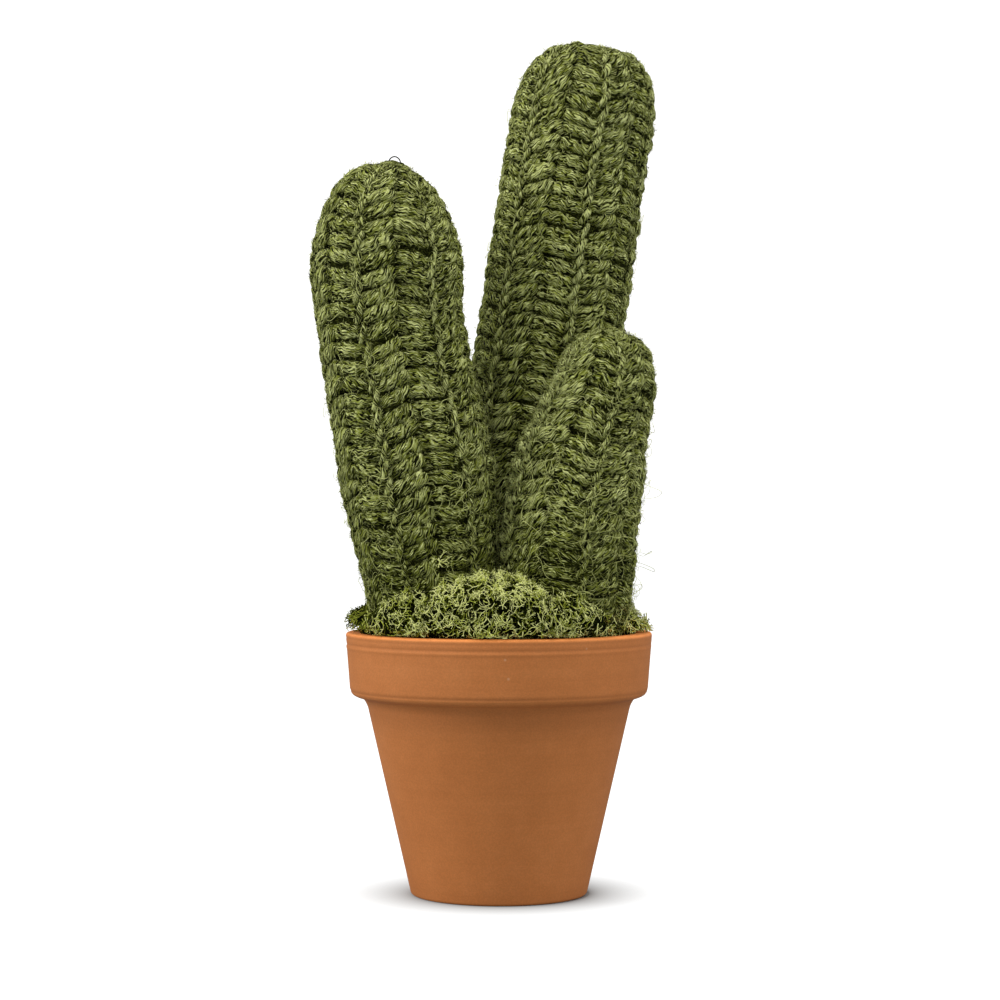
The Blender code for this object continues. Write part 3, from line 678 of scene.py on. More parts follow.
def yarn_material():
    """Green wool: pale and dark fibres along each strand, with painted shade down between the strands and
    painted light on their tops.
    """
    material, tree, shader = new_material("green wool yarn", 0.95, specular=0.07)
    strand = add_node(tree, "UVMap", uv_map="strand").outputs["UV"]
    fibres = add_group(tree, "fibres", {"Strand": strand})
    patches = add_group(tree, "patches", {"Vector": object_place(tree), "Scale": 60.0})
    streaks, pale, dark = (fibres.outputs[label] for label in FIBRE_LAYERS)
    # Painted light and shade: the tone holds light painted on a stem's side, the rise paints shade between
    # strands and light on their tops, and pale and dark fibre lines are partly painted glints and shade
    marked = weighted_sum(tree, WOOL_BASE, (patches.outputs["Value"], WOOL_PATCHES),
                          (attribute(tree, "tone"), WOOL_TONE), (attribute(tree, "rise"), WOOL_RISE_PAINTED_SHADE),
                          (streaks, WOOL_STREAKS), (pale, WOOL_PALE), (dark, -WOOL_DARK))
    # Painted shade towards the foot
    shaded = add_group(tree, "foot shade", {"Vector": object_place(tree), "Least": 0.69})
    factor = worked_out(tree, "MULTIPLY", marked, shaded.outputs["Value"])
    colour_by(tree, shader, factor, (
        (0.10, (0.005, 0.006, 0.0003)), (0.34, (0.075, 0.090, 0.006)),
        (0.56, (0.310, 0.348, 0.056)), (0.84, (0.890, 0.945, 0.385))))
    height = weighted_sum(tree, 0.0, (streaks, 0.5), (pale, 0.5), (dark, -0.6))
    set_bump(tree, shader, height, strength=1.0, distance=0.0008)
    return material


def backing_material():
    """The wool seen deep between the stitches: a felt of crossing fibres, painted dark as the shade there.
    """
    material, tree, shader = new_material("green wool in painted shade", 1.0, specular=0.05)
    place = object_place(tree)
    patches = add_group(tree, "patches", {"Vector": place, "Scale": 300.0})
    felt = thin_lines(tree, noise_at(tree, place, 900.0, detail=1.0), 0.06)
    factor = weighted_sum(tree, 0.0, (patches.outputs["Value"], 0.45), (felt, 0.55))
    # Painted shade: far darker than the yarn, as shade falls deep between the stitches
    colour_by(tree, shader, factor, (
        (0.1, (0.004, 0.005, 0.0006)), (0.5, (0.034, 0.040, 0.005)), (1.0, (0.180, 0.200, 0.040))))
    set_bump(tree, shader, factor, strength=0.8, distance=0.0008)
    return material


def fuzz_material():
    """Loose wool fibres, each pale or dark by its own tone."""
    material, tree, shader = new_material("loose wool fibres", 0.9, specular=0.05, sheen=0.08)
    # Painted shade towards the foot
    shaded = add_group(tree, "foot shade", {"Vector": object_place(tree), "Least": 0.86})
    tone = worked_out(tree, "MULTIPLY", attribute(tree, "tone"), shaded.outputs["Value"])
    colour_by(tree, shader, tone, (
        (0.0, (0.004, 0.005, 0.0004)), (0.5, (0.190, 0.219, 0.030)), (1.0, (0.940, 0.985, 0.385))))
    return material


def thread_material():
    """A dark sewing thread."""
    material, tree, shader = new_material("dark thread", 0.7)
    patches = add_group(tree, "patches", {"Vector": object_place(tree), "Scale": 900.0})
    colour_by(tree, shader, patches.outputs["Value"], (
        (0.2, (0.004, 0.005, 0.002)), (0.8, (0.022, 0.025, 0.010))))
    return material


def moss_material():
    """Preserved reindeer moss, pale yellow-green, with painted light at the tips and painted shade further
    in.

    The core, whose tone is zero, is near black as painted shade deep in the clump, with a net of thin lines
    over it.
    """
    material, tree, shader = new_material("reindeer moss", 0.9, specular=0.04)
    patches = add_group(tree, "patches", {"Vector": object_place(tree), "Scale": 130.0})
    share = weighted_sum(tree, MOSS_BASE, (patches.outputs["Value"], MOSS_PATCHES))
    tone = attribute(tree, "tone")
    # The core is painted near black, as shade deep in the clump
    inside = worked_out(tree, "LESS_THAN", tone, CORE_TONE_UNDER)
    net = thin_lines(tree, noise_at(tree, object_place(tree), 800.0, detail=1.0), 0.05)
    depths = worked_out(tree, "MULTIPLY", worked_out(tree, "MULTIPLY", net, inside), CORE_NET)
    factor = worked_out(tree, "MULTIPLY_ADD", share, tone, depths)
    colour_by(tree, shader, factor, (
        (0.02, (0.002, 0.003, 0.0003)), (0.30, (0.072, 0.092, 0.004)),
        (0.52, (0.600, 0.665, 0.090)), (0.72, (0.970, 1.000, 0.410))))
    grain = noise_at(tree, object_place(tree), 1800.0)
    set_bump(tree, shader, grain, strength=0.5, distance=0.0003)
    return material


def terracotta_material():
    """Fired clay: fine grain, throwing lines, uneven firing and pale chips, with bands of painted light and
    shade: a painted highlight on the rim's top edge, painted shade in its grooves and a painted shadow
    under it.
    """
    material, tree, shader = new_material("terracotta", 0.72, specular=0.40)
    place = object_place(tree)
    patches = add_group(tree, "patches", {"Vector": place, "Scale": 22.0})
    grain = noise_at(tree, place, 1500.0, detail=4.0, roughness=0.65)
    level = add_node(tree, "SeparateXYZ", {"Vector": place}).outputs["Z"]
    lines = noise_at(tree, stretched(tree, place, across=6.0, up=420.0), 1.0, detail=3.0)
    firing = weighted_sum(tree, 0.0, (lines, 0.45), (patches.outputs["Value"], 0.55))
    colour = stepped_colour(tree, firing, (
        (0.10, (0.600, 0.198, 0.047)), (0.50, (0.652, 0.220, 0.055)), (0.90, (0.704, 0.246, 0.067))))
    specks = add_node(tree, "MapRange", {"Value": grain, "From Min": 0.40, "From Max": 0.62,
                                         "To Min": 0.93, "To Max": 1.05}).outputs["Result"]
    # Bands of painted light and shade: highlights on the rim's top edge and lower rounding, shade in the
    # grooves, a shadow under the rim
    banded = 0.0
    for height, width, strength in BANDS:
        away = worked_out(tree, "ABSOLUTE", worked_out(tree, "SUBTRACT", level, height))
        band = add_node(tree, "MapRange", {"Value": away, "From Min": 0.0, "From Max": width,
                                           "To Min": strength, "To Max": 0.0},
                        interpolation_type="SMOOTHSTEP")
        banded = worked_out(tree, "ADD", band.outputs["Result"], banded)
    even, added = BAND_SHARES
    shown = weighted_sum(tree, even, (patches.outputs["Value"], added))
    painted_bands = weighted_sum(tree, 1.0, (banded, shown))
    speckled = blended(tree, 1.0, colour, worked_out(tree, "MULTIPLY", specks, painted_bands), "MULTIPLY")
    chipped = 0.0
    for x, y, z, size in CHIPS:
        away = add_node(tree, "VectorMath", {0: place, 1: (x, y, z)}, operation="DISTANCE")
        mark = add_node(tree, "MapRange", {
            "Value": away.outputs["Value"], "From Min": 0.3 * size, "From Max": size,
            "To Min": CHIP_STRENGTH, "To Max": 0.0})
        chipped = worked_out(tree, "MAXIMUM", mark.outputs["Result"], chipped)
    marked = blended(tree, chipped, speckled, CHIP_COLOUR)
    tree.links.new(marked, shader.inputs["Base Color"])
    height = weighted_sum(tree, 0.0, (lines, 0.65), (grain, 0.35))
    set_bump(tree, shader, height, strength=0.25, distance=0.0004)
    return material


def foam_material():
    """Green florist's foam with fine pores."""
    material, tree, shader = new_material("florist foam", 0.95)
    pores = add_node(tree, "TexVoronoi", {"Vector": object_place(tree), "Scale": 1200.0})
    colour_by(tree, shader, pores.outputs["Distance"], (
        (0.1, (0.020, 0.045, 0.018)), (0.6, (0.070, 0.130, 0.055))))
    set_bump(tree, shader, pores.outputs["Distance"], strength=0.6, distance=0.0004)
    return material


def stuffing_material():
    """White fibre filling."""
    material, tree, shader = new_material("fibre stuffing", 1.0, sheen=0.3)
    tufts = noise_at(tree, object_place(tree), 260.0, detail=4.0, roughness=0.7)
    colour_by(tree, shader, tufts, ((0.3, (0.62, 0.61, 0.57)), (0.7, (0.86, 0.85, 0.82))))
    set_bump(tree, shader, tufts, strength=0.8, distance=0.0010)
    return material


def wood_material():
    """A birch stake: fine grain that runs up it."""
    material, tree, shader = new_material("birch wood", 0.65)
    upright = stretched(tree, object_place(tree), across=1500.0, up=60.0)
    grain = noise_at(tree, upright, 1.0, detail=3.0, roughness=0.6)
    colour_by(tree, shader, grain, ((0.3, (0.42, 0.27, 0.14)), (0.7, (0.62, 0.44, 0.25))))
    set_bump(tree, shader, grain, strength=0.3, distance=0.0002)
    return material


def cubic_through(keys, column, heights):
    """Reads one column of a stem's line at any height, on a smooth cubic through its keys."""
    table = np.array(keys)
    places = table[:, 0]
    values = table[:, column]
    slopes = np.gradient(values, places)
    held = np.clip(heights, places[0], places[-1])
    index = np.clip(np.searchsorted(places, held) - 1, 0, len(places) - 2)
    span = places[index + 1] - places[index]
    share = (held - places[index]) / span
    rise = share * share * (3 - 2 * share)
    inner = (values[index] * (1 - rise) + values[index + 1] * rise
             + span * share * (1 - share) * ((1 - share) * slopes[index] - share * slopes[index + 1]))
    end_slope = np.where(heights > held, slopes[-1], slopes[0])
    return inner + end_slope * (heights - held)


def stem_middle(stem, heights):
    """Place across and in depth of a stem's middle line at each height."""
    return cubic_through(stem["line"], 1, heights), cubic_through(stem["line"], 2, heights)


def stem_radius(stem, heights):
    """Radius of a stem at each height: its key radius, closed by a dome at the top.

    In the dome, radius = key radius * (1 - share^bluntness)^(1 / bluntness).
    """
    top = stem["line"][-1][0]
    full = cubic_through(stem["line"], 3, heights)
    share = np.clip((heights - stem["dome_from"]) / (top - stem["dome_from"]), 0, 1)
    blunt = stem["bluntness"]
    return full * (1 - share ** blunt) ** (1 / blunt)


def stem_outline(stem):
    """Outline of a stem from foot to tip: way along it, radius, height and outward normal."""
    top = stem["line"][-1][0]
    share = np.linspace(0, 1, OUTLINE_POINTS)
    heights = STEM_FOOT + (top - STEM_FOOT) * np.sin(share * math.pi / 2)
    radii = stem_radius(stem, heights)
    run = np.gradient(radii)
    rise = np.gradient(heights)
    length = np.hypot(run, rise)
    way = np.concatenate(([0], np.cumsum(np.hypot(np.diff(radii), np.diff(heights)))))
    return {"way": way, "radius": radii, "height": heights,
            "out_radius": rise / length, "out_height": -run / length}


OUTLINES = {name: stem_outline(stem) for name, stem in STEMS.items()}


def pot_inner_radius(height):
    """Radius of the pot's inner wall, which widens in two straight runs.

    Over the rim it opens out quickly, so that the stems are free there.
    """
    higher, wider = INNER_WALL_OPENS
    heights = (POT_FLOOR, POT_NECK_HEIGHT, POT_HEIGHT, POT_HEIGHT + higher)
    radii = (POT_INNER_BASE_RADIUS, POT_INNER_NECK_RADIUS, POT_MOUTH_RADIUS, POT_MOUTH_RADIUS + wider)
    return np.interp(height, heights, radii)


def soft_limit(value, limit):
    """Holds a value under a limit, with a rounded turn instead of a corner."""
    room = limit - value
    return limit - 0.5 * (room + np.sqrt(room * room + PRESS_SOFTNESS ** 2))


def press_stem(name, points, inset):
    """Flattens a stem where it meets its neighbours and the pot's wall.

    At each height, the line between two stems' middles is shared out by their radii, and no
    point of either passes the upright plane there. The pot's wall is a limit on the distance
    from the pot's axis in the same way.
    """
    own = STEMS[name]
    x, y, z = points[..., 0].copy(), points[..., 1].copy(), points[..., 2]
    own_x, own_y = stem_middle(own, z)
    for other_name, other in STEMS.items():
        if other_name == name:
            continue
        other_x, other_y = stem_middle(other, z)
        apart = np.hypot(other_x - own_x, other_y - own_y)
        toward_x = (other_x - own_x) / apart
        toward_y = (other_y - own_y) / apart
        own_radius = np.maximum(stem_radius(own, z), THINNEST_PRESSED)
        other_radius = np.maximum(stem_radius(other, z), THINNEST_PRESSED)
        limit = apart * own_radius / (own_radius + other_radius) - GAP - inset
        reach = (x - own_x) * toward_x + (y - own_y) * toward_y
        change = soft_limit(reach, limit) - reach
        x += change * toward_x
        y += change * toward_y
    distance = np.maximum(np.hypot(x, y), 1e-6)
    held = soft_limit(distance, pot_inner_radius(z) - GAP - inset) / distance
    return np.stack((x * held, y * held, z), axis=-1)


def stem_skin(name, way, turn, out=0.0, inset=PRESS_ROOM):
    """Points of a stem's skin at a way along its outline and a turn round it.

    The outline's radius and height, moved out along its normal, are turned about the stem's
    middle line. Each ring is square to that line, and turns level towards the foot.
    """
    stem = STEMS[name]
    outline = OUTLINES[name]
    read = {key: np.interp(way, outline["way"], outline[key]) for key in outline}
    radii = read["radius"] + out * read["out_radius"]
    heights = read["height"] + out * read["out_height"]
    across, depth = stem_middle(stem, heights)
    ahead_x, ahead_y = stem_middle(stem, heights + MILLIMETRE)
    behind_x, behind_y = stem_middle(stem, heights - MILLIMETRE)
    upright = np.clip((heights - STEM_FOOT) / (UPRIGHT_BELOW - STEM_FOOT), 0, 1)
    out_x = radii * np.sin(turn)
    out_y = -radii * np.cos(turn)
    lean = out_x * (ahead_x - behind_x) + out_y * (ahead_y - behind_y)
    down = upright * lean / (2 * MILLIMETRE)
    points = np.stack((across + out_x, depth + out_y, np.maximum(heights - down, STEM_FOOT)), axis=-1)
    return press_stem(name, points, inset)


def lengths(vectors):
    """Length of each vector, with its axis kept."""
    return np.linalg.norm(vectors, axis=-1, keepdims=True)


def stem_frame(name, way, turn):
    """Points of a stem's skin, and the outward normal at each, from two short steps over it."""
    last = OUTLINES[name]["way"][-1] - STEPS_END_SHORT
    way = np.clip(way, 0.0, last)
    points = stem_skin(name, way, turn)
    beside = stem_skin(name, way, turn + TURN_STEP) - points
    ahead = stem_skin(name, way + WAY_STEP, turn) - points
    normal = np.cross(beside, ahead)
    return points, normal / np.maximum(lengths(normal), 1e-15)


def over_stem(name, way, turn, out):
    """Points at a height over a stem's skin, and the outward normals there."""
    points, normal = stem_frame(name, way, turn)
    return points + normal * out[..., None], normal


def smooth_weights(controls, count):
    """Weights of a smooth curve through evenly spaced control points, one row for each point.

    Between two controls the curve is the cubic whose slope at each is half the difference of
    that control's neighbours.
    """
    place = np.linspace(0, controls - 1, count)
    index = np.minimum(place.astype(int), controls - 2)
    share = place - index
    cubes = np.stack((-share ** 3 + 2 * share ** 2 - share, 3 * share ** 3 - 5 * share ** 2 + 2,
                      -3 * share ** 3 + 4 * share ** 2 + share, share ** 3 - share ** 2)) / 2
    weights = np.zeros((count, controls))
    for offset, cube in zip((-1, 0, 1, 2), cubes):
        np.add.at(weights, (np.arange(count), np.clip(index + offset, 0, controls - 1)), cube)
    return weights


def tube_surface(paths, radii, outward, sides, flatness=1.0, lumps=1.0):
    """Tubes along many paths, each closed at its two ends by a fan to the path's end point.

    Point = path + radius * (cos a * side + flatness * sin a * up), where side is square to the
    path and to the outward direction, up is square to both, and a starts underneath. The
    lumps are a factor on the radius of each point.
    """
    along = np.gradient(paths, axis=1)
    along = along / np.maximum(lengths(along), 1e-12)
    side = np.cross(along, outward)
    side = side / np.maximum(lengths(side), 1e-12)
    up = np.cross(side, along)
    turn = (np.arange(sides) / sides * 2 * math.pi - math.pi / 2)[None, None, :, None]
    round_it = np.cos(turn) * side[:, 1:-1, None, :] + flatness * np.sin(turn) * up[:, 1:-1, None, :]
    rings = paths[:, 1:-1, None, :] + radii[:, 1:-1, None, None] * lumps * round_it
    return rings, paths[:, 0], paths[:, -1]


def closed_grid(count, rows, sides):
    """Faces and face corners' (row, side) places of many closed tubes.

    Each tube's points are its rows of sides, then its first and last end point.
    """
    first = np.arange(count)[:, None, None] * (rows * sides + 2)
    row, side = np.meshgrid(np.arange(rows - 1), np.arange(sides), indexing="ij")
    corners = ((row, side), (row + 1, side), (row + 1, side + 1), (row, side + 1))
    quads = np.stack([first + r * sides + s % sides for r, s in corners], axis=-1).reshape(-1, 4)
    places = np.stack([np.stack((r, s), axis=-1) for r, s in corners], axis=-2)
    quad_places = np.broadcast_to(places, (count, *places.shape)).reshape(-1, 2)
    ring = np.arange(sides)
    ahead = ring + 1
    base = np.arange(count)[:, None] * (rows * sides + 2)
    top = (rows - 1) * sides
    low_tip = base + rows * sides + 0 * ring
    high_tip = low_tip + 1
    low = np.stack((low_tip, base + ring, base + ahead % sides), axis=-1).reshape(-1, 3)
    high = np.stack((high_tip, base + top + ahead % sides, base + top + ring), axis=-1).reshape(-1, 3)
    middle = ring + 0.5
    low_place = np.stack((np.stack((0 * ring, middle), -1), np.stack((0 * ring, ring), -1),
                          np.stack((0 * ring, ahead), -1)), axis=-2)
    last = 0 * ring + rows - 1
    high_place = np.stack((np.stack((last, middle), -1), np.stack((last, ahead), -1),
                           np.stack((last, ring), -1)), axis=-2)
    fan_places = np.concatenate([np.broadcast_to(place, (count, *place.shape)).reshape(-1, 2)
                                 for place in (low_place, high_place)])
    return quads, np.concatenate((low, high)), np.concatenate((quad_places, fan_places))


def add_piece(name, points, quads, fans, material, uvs=None, marks=None):
    """Makes a mesh object from arrays of points, four-sided and three-sided faces."""
    mesh = bpy.data.meshes.new(name)
    placed = points.reshape(-1, 3) + (POT_AXIS_X, 0.0, 0.0)
    mesh.vertices.add(len(placed))
    mesh.vertices.foreach_set("co", placed.astype(np.float32).ravel())
    corners = np.concatenate((quads.ravel(), fans.ravel()))
    mesh.loops.add(len(corners))
    mesh.loops.foreach_set("vertex_index", corners.astype(np.int32))
    starts = np.concatenate((np.arange(len(quads)) * 4, len(quads) * 4 + np.arange(len(fans)) * 3))
    mesh.polygons.add(len(starts))
    mesh.polygons.foreach_set("loop_start", starts.astype(np.int32))
    mesh.update(calc_edges=True)
    mesh.shade_smooth()
    if uvs is not None:
        mesh.uv_layers.new(name="strand").data.foreach_set("uv", uvs.astype(np.float32).ravel())
    for label, values in (marks or {}).items():
        store = mesh.attributes.new(label, "FLOAT", "POINT")
        store.data.foreach_set("value", values.astype(np.float32).ravel())
    mesh.materials.append(material)
    piece = bpy.data.objects.new(name, mesh)
    bpy.context.scene.collection.objects.link(piece)
    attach(piece, "root")
    return piece


def add_tubes(name, paths, radii, outward, sides, material, marks, starts=0.0, twist=0.0,
              flatness=1.0, lumps=1.0, girth=1.0):
    """One piece made of many closed tubes. Marks hold a value for each point of each path.

    The strand coordinates are millimetres along the tube and turns round it, less the twist.
    A turn counts for less on a tube of small girth.
    """
    rings, low, high = tube_surface(paths, radii, outward, sides, flatness, lumps)
    count, rows = rings.shape[:2]
    points = np.concatenate((rings.reshape(count, -1, 3), low[:, None], high[:, None]), axis=1)
    quads, fans, places = closed_grid(count, rows, sides)
    steps = np.linalg.norm(np.diff(paths[:, 1:-1], axis=1), axis=-1)
    way = np.concatenate((np.zeros((count, 1)), np.cumsum(steps, axis=1)), axis=1) * 1000
    owner = np.concatenate((np.repeat(np.arange(count), (rows - 1) * sides * 4),
                            np.repeat(np.arange(count), sides * 3),
                            np.repeat(np.arange(count), sides * 3)))
    along = way[owner, places[:, 0].astype(int)]
    first = np.broadcast_to(starts, (count,))[owner]
    turned = np.broadcast_to(twist, (count,))[owner] * along
    around = places[:, 1] / sides * np.broadcast_to(girth, (count,))[owner]
    uvs = np.stack((along + first, around + turned), axis=-1)
    kept = {label: spread_over_rings(values, sides) for label, values in marks.items()}
    return add_piece(name, points, quads, fans, material, uvs, kept)


def spread_over_rings(values, sides):
    """Gives each ring's value, or values, to its points, and the end values to the end points."""
    if values.ndim == 2:
        values = np.repeat(values[..., None], sides, axis=2)
    rings = values[:, 1:-1].reshape(len(values), -1)
    return np.concatenate((rings, values[:, :1].mean(axis=2), values[:, -1:].mean(axis=2)), axis=1)


def stitch_places(name, rng):
    """Rib number and stitch number of every stitch of a stem that shows over the pot."""
    stem = STEMS[name]
    outline = OUTLINES[name]
    pitch = stem["stitch"]
    lowest = np.interp(FIRST_STITCH_HEIGHT, outline["height"], outline["way"]) / pitch
    highest = (outline["way"][-1] - LAST_STITCH_SHORT) / pitch
    rows = np.arange(int(lowest), int(highest) + 1)
    rib, row = np.meshgrid(np.arange(stem["ribs"]), rows, indexing="ij")
    offset = rng.uniform(-0.5, 0.5, stem["ribs"])
    return rib.ravel().astype(float), (row + offset[:, None]).ravel()


def make_strands(name, rng):
    """Middle lines, radii, outward directions and marks of all the strands of a stem.

    A strand's line is the smooth curve through its control points, placed at its rib and
    stitch. Near the tip, where the ribs narrow, it is drawn closer to the skin and thinner.
    """
    stem = STEMS[name]
    outline = OUTLINES[name]
    rib, row = stitch_places(name, rng)
    count = len(rib)
    gathered = []
    widest = outline["radius"].max()
    run = np.linspace(0, 1, STRAND_POINTS)[None, :]
    for kind, controls in STRANDS.items():
        curve = smooth_weights(len(controls), STRAND_POINTS) @ np.array(controls)
        across, along, over, bowed, tilted, twisted = rng.normal(0.0, 1.0, (count, 6)).T[..., None]
        share = curve[None, :, 0] + UNEVEN["across"] * across + rib[:, None]
        bend = (UNEVEN["bowed"] * bowed * np.sin(run * math.pi)
                + UNEVEN["tilted"] * tilted * (run - 0.5))
        stitches = row[:, None] + curve[None, :, 1] + UNEVEN["along"] * along + bend
        way = stitches * stem["stitch"]
        narrow = np.interp(way, outline["way"], outline["radius"]) / widest
        out = curve[None, :, 2] * MILLIMETRE + UNEVEN["out"] * over
        flatter = np.clip(narrow * NEAR_TIP["flat_under"], NEAR_TIP["flattest"], 1.0)
        out = out * flatter - NEAR_TIP["sink"] * np.clip(1 - narrow * NEAR_TIP["sink_under"], 0, 1)
        rise = np.clip((out + RISE_FROM) / RISE_SPAN, 0, 1)
        turn = math.radians(stem["chain_angle"]) + share * 2 * math.pi / stem["ribs"]
        paths, normals = over_stem(name, way, turn, out - stem["sunk"])
        thickness = rng.normal(1.0, UNEVEN["thickness"], (count, 1)) * stem["stitch"] / STITCH_FOR_RADII
        thickness = thickness * (stem["chain"] if kind == "chain" else 1.0)
        thinner = np.clip(narrow * NEAR_TIP["thin_under"], NEAR_TIP["thinnest"], 1.0)
        radii = curve[None, :, 3] * MILLIMETRE * thickness * thinner
        paler = stem["chain"] ** 3 if kind == "chain" else 0.0
        shown = way[:, STRAND_POINTS // 2] < outline["way"][-1] - LAST_STRAND_SHORT
        gathered.append({"paths": paths[shown], "radii": radii[shown], "normals": normals[shown],
                         "rise": rise[shown], "paler": np.full(shown.sum(), paler),
                         "flatness": np.full(shown.sum(), FLATNESS[kind]),
                         "twist": TWISTS[kind] + UNEVEN["twist"] * twisted[shown, 0]})
    return {key: np.concatenate([group[key] for group in gathered]) for key in gathered[0]}


def make_stitches(name, strands, material, rng):
    """All the yarn that shows on one stem, strand by strand, each with ridges along it.

    A strand's tone is its own draw, more on a chain line, and more on a stem's side with painted
    light, by exp(-((turn - side's turn) / side's width)^2). Its rise, which paints light on its
    top and shade on its flanks, falls off from its top to its flanks.
    """
    count = len(strands["paths"])
    facing = strands["normals"]
    turn = np.degrees(np.arctan2(facing[..., 0], -facing[..., 1]))
    # Painted light on one side of a stem, which makes its strands paler there
    side = np.exp(-((turn - PAINTED_LIGHT_SIDE[0]) / PAINTED_LIGHT_SIDE[1]) ** 2) * STEMS[name].get("painted_light_side", 0.0)
    tone = rng.random((count, 1)) + strands["paler"][:, None] + side
    girth = strands["radii"].max(axis=1) / FULL_RADIUS
    flank = np.sin(np.arange(STRAND_SIDES) / STRAND_SIDES * 2 * math.pi - math.pi / 2)
    # The rise paints light on a strand's top and shade on its flanks
    rise = strands["rise"][..., None] * np.clip(FLANK_PAINTED_SHADE[0] + FLANK_PAINTED_SHADE[1] * flank, 0, 1)
    ridges = rng.normal(0.0, UNEVEN["lumps"], (count, 1, STRAND_SIDES))
    knots = rng.normal(0.0, UNEVEN["lumps"], (count, STRAND_POINTS - 2, STRAND_SIDES))
    starts = rng.uniform(0, FIBRE_RUN, count)
    add_tubes("stitches_" + name, strands["paths"], strands["radii"], strands["normals"], STRAND_SIDES,
              material, {"tone": tone, "rise": rise}, starts=starts, twist=strands["twist"],
              flatness=strands["flatness"][:, None, None, None], lumps=(1.0 + ridges + knots)[..., None],
              girth=girth)


def make_gathered_tip(name, material, rng):
    """The drawn-in end of the yarn at a stem's tip: a flat coil that closes the top.

    Its way along the outline and its turn grow evenly from outside to middle.
    """
    last = OUTLINES[name]["way"][-1]
    share = np.linspace(0, 1, GATHER_POINTS)
    way = last - GATHER_RADIUS * (1 - share) - TIP_SHORT
    turn = GATHER_TURNS * 2 * math.pi * share + rng.uniform(0, 6)
    out = np.interp(share, *GATHER_OUT)
    paths, normals = over_stem(name, way, turn, out)
    radii = GATHER_YARN_RADIUS * np.interp(share, *GATHER_THICKNESS)
    lumps = 1.0 + rng.normal(0.0, UNEVEN["thickness"], (1, GATHER_POINTS - 2, STRAND_SIDES, 1))
    full = np.ones((1, GATHER_POINTS))
    marks = {"tone": full * GATHER_TONE, "rise": full * GATHER_RISE}
    add_tubes("gathered_tip_" + name, paths[None], radii[None], normals[None], STRAND_SIDES, material,
              marks, twist=GATHER_TWIST, flatness=GATHER_FLATNESS, lumps=lumps)


def make_backing(name, material):
    """The cover that the stitches stand on: a tube with a domed top, as thick as the crochet.

    Its outside lies close to the mean surface, less groove depth * exp(-((share of the rib -
    0.5) / groove width)^2), and its inside is plain. Rows run from the outer tip down to the
    foot and up inside.
    """
    stem = STEMS[name]
    outline = OUTLINES[name]
    outer_rows, inner_rows = BACKING_ROWS
    sides = BACKING_SIDES * stem["ribs"]
    last = outline["way"][-1]
    outer_way = np.linspace(last - TIP_SHORT, 0.0, outer_rows)
    inner_way = np.linspace(0.0, last - TIP_SHORT, inner_rows)
    way = np.concatenate((outer_way, inner_way))[:, None]
    share = (np.arange(sides) / BACKING_SIDES)[None, :]
    depth, width, fades_under = BACKING_GROOVE
    groove = depth * np.exp(-((share % 1 - 0.5) / width) ** 2)
    narrow = np.interp(outer_way, outline["way"], outline["radius"])[:, None] / fades_under
    outer_out = BACKING_RISE - groove * np.clip(narrow, 0, 1)
    out = np.concatenate((outer_out, np.full((inner_rows, sides), -COVER_THICKNESS)))
    turn = math.radians(stem["chain_angle"]) + share * 2 * math.pi / stem["ribs"]
    rings = stem_skin(name, way + 0 * turn, turn + 0 * way, out, PRESS_ROOM - out)
    tips = np.stack((rings[0].mean(axis=0), rings[-1].mean(axis=0)))
    points = np.concatenate((rings.reshape(-1, 3), tips))
    quads, fans, _ = closed_grid(1, outer_rows + inner_rows, sides)
    piece = add_piece("cover_" + name, points, quads[:, ::-1], fans[:, ::-1], material)
    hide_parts("crochet_" + name)


def random_directions(rng, count):
    """Unit vectors, even over the sphere."""
    found = rng.normal(0.0, 1.0, (count, 3))
    return found / lengths(found)


def any_outward(rng, paths):
    """A random outward direction for each path, the same at all of its points."""
    return np.broadcast_to(random_directions(rng, len(paths))[:, None], paths.shape)


def open_ended(count):
    """A factor on a tube's radius: one at its rings and zero at its two end points."""
    return np.concatenate(([0.0], np.ones(count - 2), [0.0]))


def along_strands(strands, own, at):
    """Points, radii and outward, lengthways and sideways directions at places along strands."""
    index = np.minimum(at.astype(int), STRAND_POINTS - 2)
    share = (at - index)[..., None]
    low, high = strands["paths"][own, index], strands["paths"][own, index + 1]
    point = low + (high - low) * share
    radius = (strands["radii"][own, index] * (1 - share[..., 0])
              + strands["radii"][own, index + 1] * share[..., 0])
    normal = strands["normals"][own, index]
    along = (high - low) / lengths(high - low)
    side = np.cross(along, normal)
    side = side / lengths(side)
    return point, radius, np.cross(side, along), along, side


def wisps(strands, amount, rng):
    """Locks of fibres that lie over the strands, thickest halfway and fine at both ends.

    A wisp goes along its strand and round it with the yarn's twist, a little more or less.
    """
    own = rng.integers(0, len(strands["paths"]), amount)
    span = rng.uniform(*WISP_SPANS, amount)
    first = rng.uniform(*WISP_STARTS, amount) * (STRAND_POINTS - WISP_END_ROOM - span)
    run = np.linspace(0, 1, WISP_POINTS)[None, :]
    at = first[:, None] + span[:, None] * run
    point, radius, normal, _, side = along_strands(strands, own[:, None], at)
    way = lengths(point[:, -1] - point[:, 0]) * 1000
    drift = 2 * math.pi * strands["twist"][own][:, None] * way + rng.normal(0, WISP_DRIFT, (amount, 1))
    roll = rng.uniform(-WISP_ROLL, WISP_ROLL, (amount, 1)) + drift * (run - 0.5)
    reach = radius * rng.uniform(*WISP_REACH, (amount, 1))
    reach = reach + rng.normal(0.0, WISP_LIFT, (amount, WISP_POINTS)) * (run != 0.5)
    lifted = normal * np.cos(roll)[..., None] * STRAND_FLATNESS + side * np.sin(roll)[..., None]
    paths = point + lifted * reach[..., None]
    radii = rng.uniform(*WISP_RADII, (amount, 1)) * open_ended(WISP_POINTS)
    kind = rng.random((amount, 1))
    dark, middling, pale = (rng.uniform(*tones, (amount, 1)) for tones in WISP_TONES)
    tone = np.where(kind < WISP_DARK_UNDER, dark, np.where(kind > WISP_PALE_OVER, pale, middling))
    return paths, radii, normal, tone


